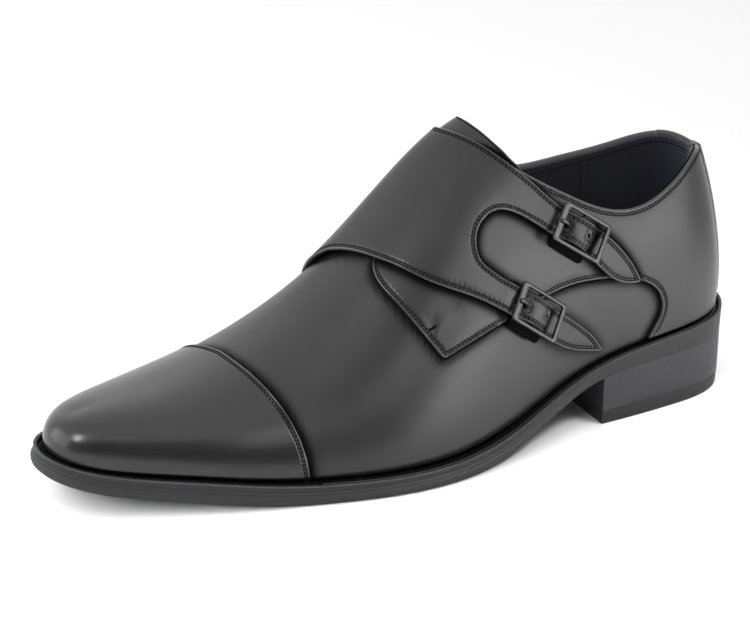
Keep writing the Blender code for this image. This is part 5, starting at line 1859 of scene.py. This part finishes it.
@dataclass
class Heel:
    """Stacked heel block and the darker lift that meets the ground."""

    last: Last
    bench: Workbench
    length: float = 72.0
    top_piece: float = 6.0
    gap: float = 0.02
    under_sole: float = 0.05
    columns: int = 90
    block: tuple[tuple[float, float], ...] = ((0.0, 1.0), (.012, .85), (.25, .75), (.5, .65), (.75, .55),
                                              (.985, .5), (1.0, .7))
    lift: tuple[tuple[float, float], ...] = ((0.0, 1.5), (0.25, 1.3), (5.65, 0.9), (5.9, 0.95), (6.0, 1.15))

    def loop(self, inset: float, height: Level) -> Array:
        """One level of the heel: round the back and straight across the breast."""
        share, station, _ = self.last.sides[Side.OUTER]
        breast = np.interp(self.length, station, share)
        seams = breast * (1 - np.cos(np.linspace(0, math.pi / 2, self.columns)))
        plan = np.concatenate([self.last.rim(seams, Side.OUTER, inset),
                               self.last.rim(seams[1:], Side.INNER, inset)[::-1]])
        plan[:, 0] = np.minimum(plan[:, 0], self.length)
        return np.column_stack([plan, height(plan[:, 0])])

    def build(self) -> None:
        """Build the block and the lift."""
        bottom = self.top_piece + self.gap
        block = [self.loop(inset, lambda station, share=share: bottom
                           + (self.last.underside(station) - self.under_sole - bottom) * share)
                 for share, inset in self.block]
        self.bench.piece("heel_stack", *stack(block), [HEEL_SIDE], ["heel_block"], sharp=35)
        lift = [self.loop(inset, lambda station, level=level: np.full_like(station, level))
                for level, inset in self.lift]
        self.bench.piece("heel_lift", *stack(lift), [TOP_RUBBER], ["top_piece"], sharp=35)


# --- the buckles ---


@dataclass
class ElasticTab(Panel):
    """Ribbed, slightly bulging elastic under a strap."""

    seat: BuckleSeat | None = None
    thickness: float = 1.1
    lift: float = 1.75
    rib: float = 1.25
    rib_rise: float = 0.22
    bulge: float = 0.9
    bulge_place: tuple[float, float] = (-7.2, 3.6)
    face: Finish = ELASTIC
    back: Finish = ELASTIC

    def relief(self, spots: Array) -> Array:
        """Ribs across the tab."""
        along, across, _ = self.seat.offsets(self.last.surface(*spots.T))
        middle, half = self.bulge_place
        share = np.clip(1 - ((across - middle) / half) ** 2, 0, 1)
        return share * (self.bulge + self.rib_rise * np.sin(2 * math.pi * along / self.rib))

    def build(self, front: float, rear: float, low: float, high: float) -> None:
        """Cut and build the tab between these distances along and across the strap."""
        places = (front, low), (rear, low), (rear, high), (front, high)
        corners = np.array([self.seat.spot(*place) for place in places])
        self.make_cut([Run(corners[[i, (i + 1) % 4]]) for i in range(4)])


@dataclass
class Buckle:
    """Square frame with its hidden bar, prong and elastic tab."""

    last: Last
    bench: Workbench
    stitches: StitchTree
    seat: BuckleSeat
    length: float = 24.4
    width: float = 16.8
    thickness: float = 1.5
    corner: float = 1.5
    front_bar: float = 3.0
    side_bar: float = 1.6
    rear_bar: float = 1.9
    lift: float = 7.0
    bar_lift: float = 4.2
    bar_radius: float = 0.6
    prong_radius: float = 0.68
    tab: tuple[float, float, float, float] = (-9.5, 8.0, -9.8, 5.0)

    def rounded(self, low: float, high: float, half: float, corner: float, steps: int = 7) -> Array:
        """Points round a rectangle from its front to its rear edge, with rounded corners."""
        low, high, half = low + corner, high - corner, half - corner
        angles = math.pi / 2 * (np.arange(4)[:, None] + np.linspace(0, 1, steps + 1))
        middles = np.array([(high, half), (low, half), (low, -half), (high, -half)])[:, None]
        plan = middles + corner * np.stack([np.cos(angles), np.sin(angles)], -1)
        return np.column_stack([plan.reshape(-1, 2), np.zeros(angles.size)])

    def build(self) -> None:
        """Build the frame with its bar, the prong and the tab."""
        self.metal("frame", "buckle", joined([self.frame(), self.hidden_bar()]), self.lift)
        self.metal("prong", "prong", self.prong(), 0.0)
        name = self.seat.name
        ElasticTab(self.last, Cutter(self.last, edge_step=0.8, field_step=0.6), self.bench, self.stitches,
                   name=f"{name}_elastic", node=f"{name}_tab", seat=self.seat).build(*self.tab)

    def metal(self, part: str, node: str, body: Body, lift: float) -> None:
        """Place a body on the seat as one of the buckle's metal parts."""
        points, faces = body
        self.bench.piece(f"{self.seat.name}_buckle_{part}", self.seat.placed(points, lift), faces, [GUNMETAL],
                         [f"{self.seat.name}_{node}"], sharp=60)

    def frame(self) -> Body:
        """Bevelled frame with a wide front bar."""
        half = self.length / 2
        outer = self.rounded(-half, half, self.width / 2, self.corner)
        inner = self.rounded(-half + self.front_bar, half - self.rear_bar,
                             self.width / 2 - self.side_bar, self.corner * 0.55)
        section = [(0.0, 0.0, -.6), (0.0, 0.0, .2), (.0, .12, .62), (.0, .5, 1.0), (1.0, -.42, 1.0), (1.0, -.12, .7),
                   (1.0, 0.0, .3), (1.0, 0.0, -.6), (1.0, -.25, -1.0), (0.0, .25, -1.0)]
        run = unit(np.roll(outer, -1, axis=0) - np.roll(outer, 1, axis=0))
        into = np.column_stack([-run[:, 1], run[:, 0], run[:, 2]])
        loops = [outer + (inner - outer) * share + into * shift + np.array([0, 0, self.thickness / 2 * level])
                 for share, shift, level in section]
        return np.concatenate(loops), [face[::-1] for face in loft(len(loops), len(outer), True)]

    def hidden_bar(self) -> Body:
        """The bar under the strap and its two posts."""
        side = self.width / 2 - self.side_bar / 2
        drop = self.bar_lift - self.lift
        post = [(0, -side, -0.2), (0, -side, drop * .6), (0, -side + .25, drop * .9), (0, -side + .9, drop)]
        path = np.array([*post, (0, 0, drop), *[(x, -y, z) for x, y, z in post[::-1]]])
        return bar(path, (self.bar_radius, self.bar_radius), 12, side=(1.0, 0.0, 0.0))

    def prong(self, steps: int = 40) -> Body:
        """Prong from the hidden bar, up through the strap, onto the front bar."""
        top = self.lift + self.thickness / 2 + self.prong_radius - 0.05
        low = self.bar_lift - 0.3
        bends = [(-1.0, 0.0, low), (-4.2, 0.0, low), (-5.8, 0.0, low + 0.5), (-7.6, 0.0, top - 1.1),
                 (-8.8, 0.0, top), (-10.2, 0.0, top + .1), (-11.9, 0.0, top - 0.1)]
        path = Spline(range(len(bends)), np.array(bends))(np.linspace(0, len(bends) - 1, steps))
        taper = np.interp(np.arange(steps), [0, 28, 32, 37, 38.3, 39], [1, 1, 1.3, 1.3, 1.0, .5]) * self.prong_radius
        return bar(path, np.column_stack([taper, taper]), 12, side=(0.0, 1.0, 0.0))


# --- the studio ---

MIDDLE = (0.0, 0.0, 0.05)


class SoftBox(NamedTuple):
    """A lamp: its place, its aim, its size in metres, and how bright its face is.

    Matt says whether it lights matt faces, glossy whether polished ones mirror it, and
    spread the angle in degrees that it lights.
    """

    name: str
    place: Place
    aim: Place
    size: tuple[float, float]
    brightness: float
    matt: bool = True
    glossy: bool = True
    spread: float = 180.0


SOFT_BOXES = [
    SoftBox("heel box", (-0.83, 0.96, 0.40), MIDDLE, (1.00, 0.80), 3.0, matt=False),
    SoftBox("side box", (-0.22, 1.14, 0.66), MIDDLE, (0.66, 0.44), 3.0, matt=False),
    SoftBox("low heel strip", (-0.34, 0.42, 0.045), (0.0, 0.04, 0.05), (0.36, 0.09), 3.6, matt=False),
    SoftBox("toe box", (1.10, -0.20, 0.40), MIDDLE, (1.25, 0.76), 2.1, matt=False),
    SoftBox("far box", (-0.20, -1.25, 0.55), MIDDLE, (1.00, 0.80), 0.15),
    SoftBox("toe spark", (0.34, 0.165, 0.28), (0.14, 0.02, 0.03), (0.09, 0.14), 11.0, matt=False),
    SoftBox("toe wash", (1.45, 0.10, 1.25), (0.05, 0.1, 0.0), (1.8, 1.4), 8.0, glossy=False),
    SoftBox("low toe wash", (0.45, 0.42, 0.30), (0.14, 0.12, 0.0), (0.2, 0.2), 1.4, glossy=False, spread=40.0),
    SoftBox("heel wash", (-0.32, 0.32, 0.50), (-0.24, 0.20, 0.0), (0.2, 0.2), 9.0, glossy=False, spread=55.0),
]


@dataclass
class Studio:
    """Camera, pale floor and soft lights."""

    target: Place = (0.0005, -0.00568, 0.045)
    bearing: float = 25.454
    rise: float = 23.0
    distance: float = 1.22306
    lens: float = 145.96
    roll: float = -0.00402
    shift: tuple[float, float] = (-0.0171, 0.0180)
    overhead: float = 1.15
    behind: float = 1.15
    in_front: float = 0.10
    floor: float = 6.0

    def build(self) -> None:
        """Build the camera first, then floor, lights and surround."""
        self.build_camera()
        self.build_floor()
        for box in SOFT_BOXES:
            self.build_lamp(box)
        self.build_surround()

    def build_camera(self) -> None:
        """Camera at the shoe's outer toe corner, slightly above."""
        bearing, rise = math.radians(self.bearing), math.radians(self.rise)
        back = np.array([math.sin(bearing) * math.cos(rise), math.cos(bearing) * math.cos(rise), math.sin(rise)])
        right = np.array([-math.cos(bearing), math.sin(bearing), 0.0])
        up = np.cross(back, right)
        turned_right = right * math.cos(self.roll) - up * math.sin(self.roll)
        turned_up = right * math.sin(self.roll) + up * math.cos(self.roll)
        place = np.array(self.target) + back * self.distance
        data = bpy.data.cameras.new("camera")
        data.lens, data.sensor_width = self.lens, 36.0
        data.shift_x, data.shift_y = self.shift
        data.clip_start, data.clip_end = 0.05, 20.0
        camera = stood("camera", data)
        camera.matrix_world = Matrix([*np.column_stack([turned_right, turned_up, back, place]), (0, 0, 0, 1)])
        bpy.context.scene.camera = camera

    def build_floor(self) -> None:
        """A large pale floor under the sole."""
        size = self.floor
        mesh = bpy.data.meshes.new("floor")
        mesh.from_pydata([(-size, -size, 0), (size, -size, 0), (size, size, 0), (-size, size, 0)], [],
                         [(0, 1, 2, 3)])
        bench = NodeBench("pale floor")
        bench.tint(bench.noise(400.0), (.59, .59, .59), (.61, .61, .61))
        bench.level(Roughness=0.85, Specular_IOR_Level=0.1)
        mesh.materials.append(bench.material)
        stood("floor", mesh)

    def build_lamp(self, box: SoftBox) -> None:
        """Hang a soft box that the camera doesn't see."""
        data = bpy.data.lights.new(box.name, "AREA")
        data.shape = "RECTANGLE"
        data.size, data.size_y = box.size
        data.spread = math.radians(box.spread)
        data.energy = box.brightness * math.pi * data.size * data.size_y
        lamp = stood(box.name, data)
        lamp.location = box.place
        lamp.rotation_euler = (Vector(box.aim) - Vector(box.place)).to_track_quat("-Z", "Y").to_euler()
        lamp.visible_camera, lamp.visible_diffuse, lamp.visible_glossy = False, box.matt, box.glossy

    def build_surround(self) -> None:
        """Surround that is pale overhead and behind, dim on the camera's side, white to the camera."""
        world = bpy.data.worlds.new("surround")
        world.use_nodes = True
        nodes = Nodes(world.node_tree)
        place = nodes.add("ShaderNodeTexCoord").outputs["Generated"]
        bearing = math.radians(self.bearing)
        towards = nodes.add("ShaderNodeVectorMath", operation="DOT_PRODUCT")
        towards.inputs[1].default_value = (math.sin(bearing), math.cos(bearing), 0.0)
        nodes.tree.links.new(place, towards.inputs[0])
        height = nodes.add("ShaderNodeSeparateXYZ", Vector=place).outputs["Z"]
        low = nodes.spread(towards.outputs["Value"], self.behind, self.in_front, -0.3, 0.6, "SMOOTHSTEP")
        rise = nodes.spread(height, 0.0, 1.0, 0.54, 0.69, "SMOOTHSTEP")
        blend = nodes.add("ShaderNodeMix", Factor=rise, A=low, B=self.overhead)
        seen = nodes.add("ShaderNodeLightPath").outputs["Is Camera Ray"]
        shown = nodes.add("ShaderNodeMix", Factor=seen, A=blend.outputs["Result"], B=1.0)
        nodes.fill(nodes.tree.nodes["Background"], Strength=shown.outputs["Result"], Color=(1.0, 1.0, 1.0, 1.0))
        bpy.context.scene.world = world
        bpy.context.scene.view_settings.view_transform = "Standard"


# --- main ---


def build_shoe() -> None:
    """Build every piece of the shoe, the laid-on panels before what they shade."""
    last, bench = Last(), Workbench()
    stitches = StitchTree(bench)
    cutter = Cutter(last)
    seats = tuple(BuckleSeat(last, place) for place in BUCKLES)
    tools = (last, cutter, bench, stitches)
    Sole(last, bench).build()
    Heel(last, bench).build()
    flap = StrapFlap(*tools, seats=seats).build()
    quarter = OuterQuarter(*tools, over=(flap,)).build()
    cap = ToeCap(*tools).build()
    Vamp(*tools, over=(flap, quarter, cap)).build()
    Tongue(*tools).build()
    Backstay(*tools).build()
    Collar(last, bench, stitches).build()
    for seat in seats:
        Buckle(last, bench, stitches, seat).build()


def main() -> None:
    """Load the frame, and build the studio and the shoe."""
    logging.basicConfig(level=logging.INFO, format="%(name)s: %(message)s")
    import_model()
    Studio().build()
    build_shoe()


if __name__ == "__main__":
    main()
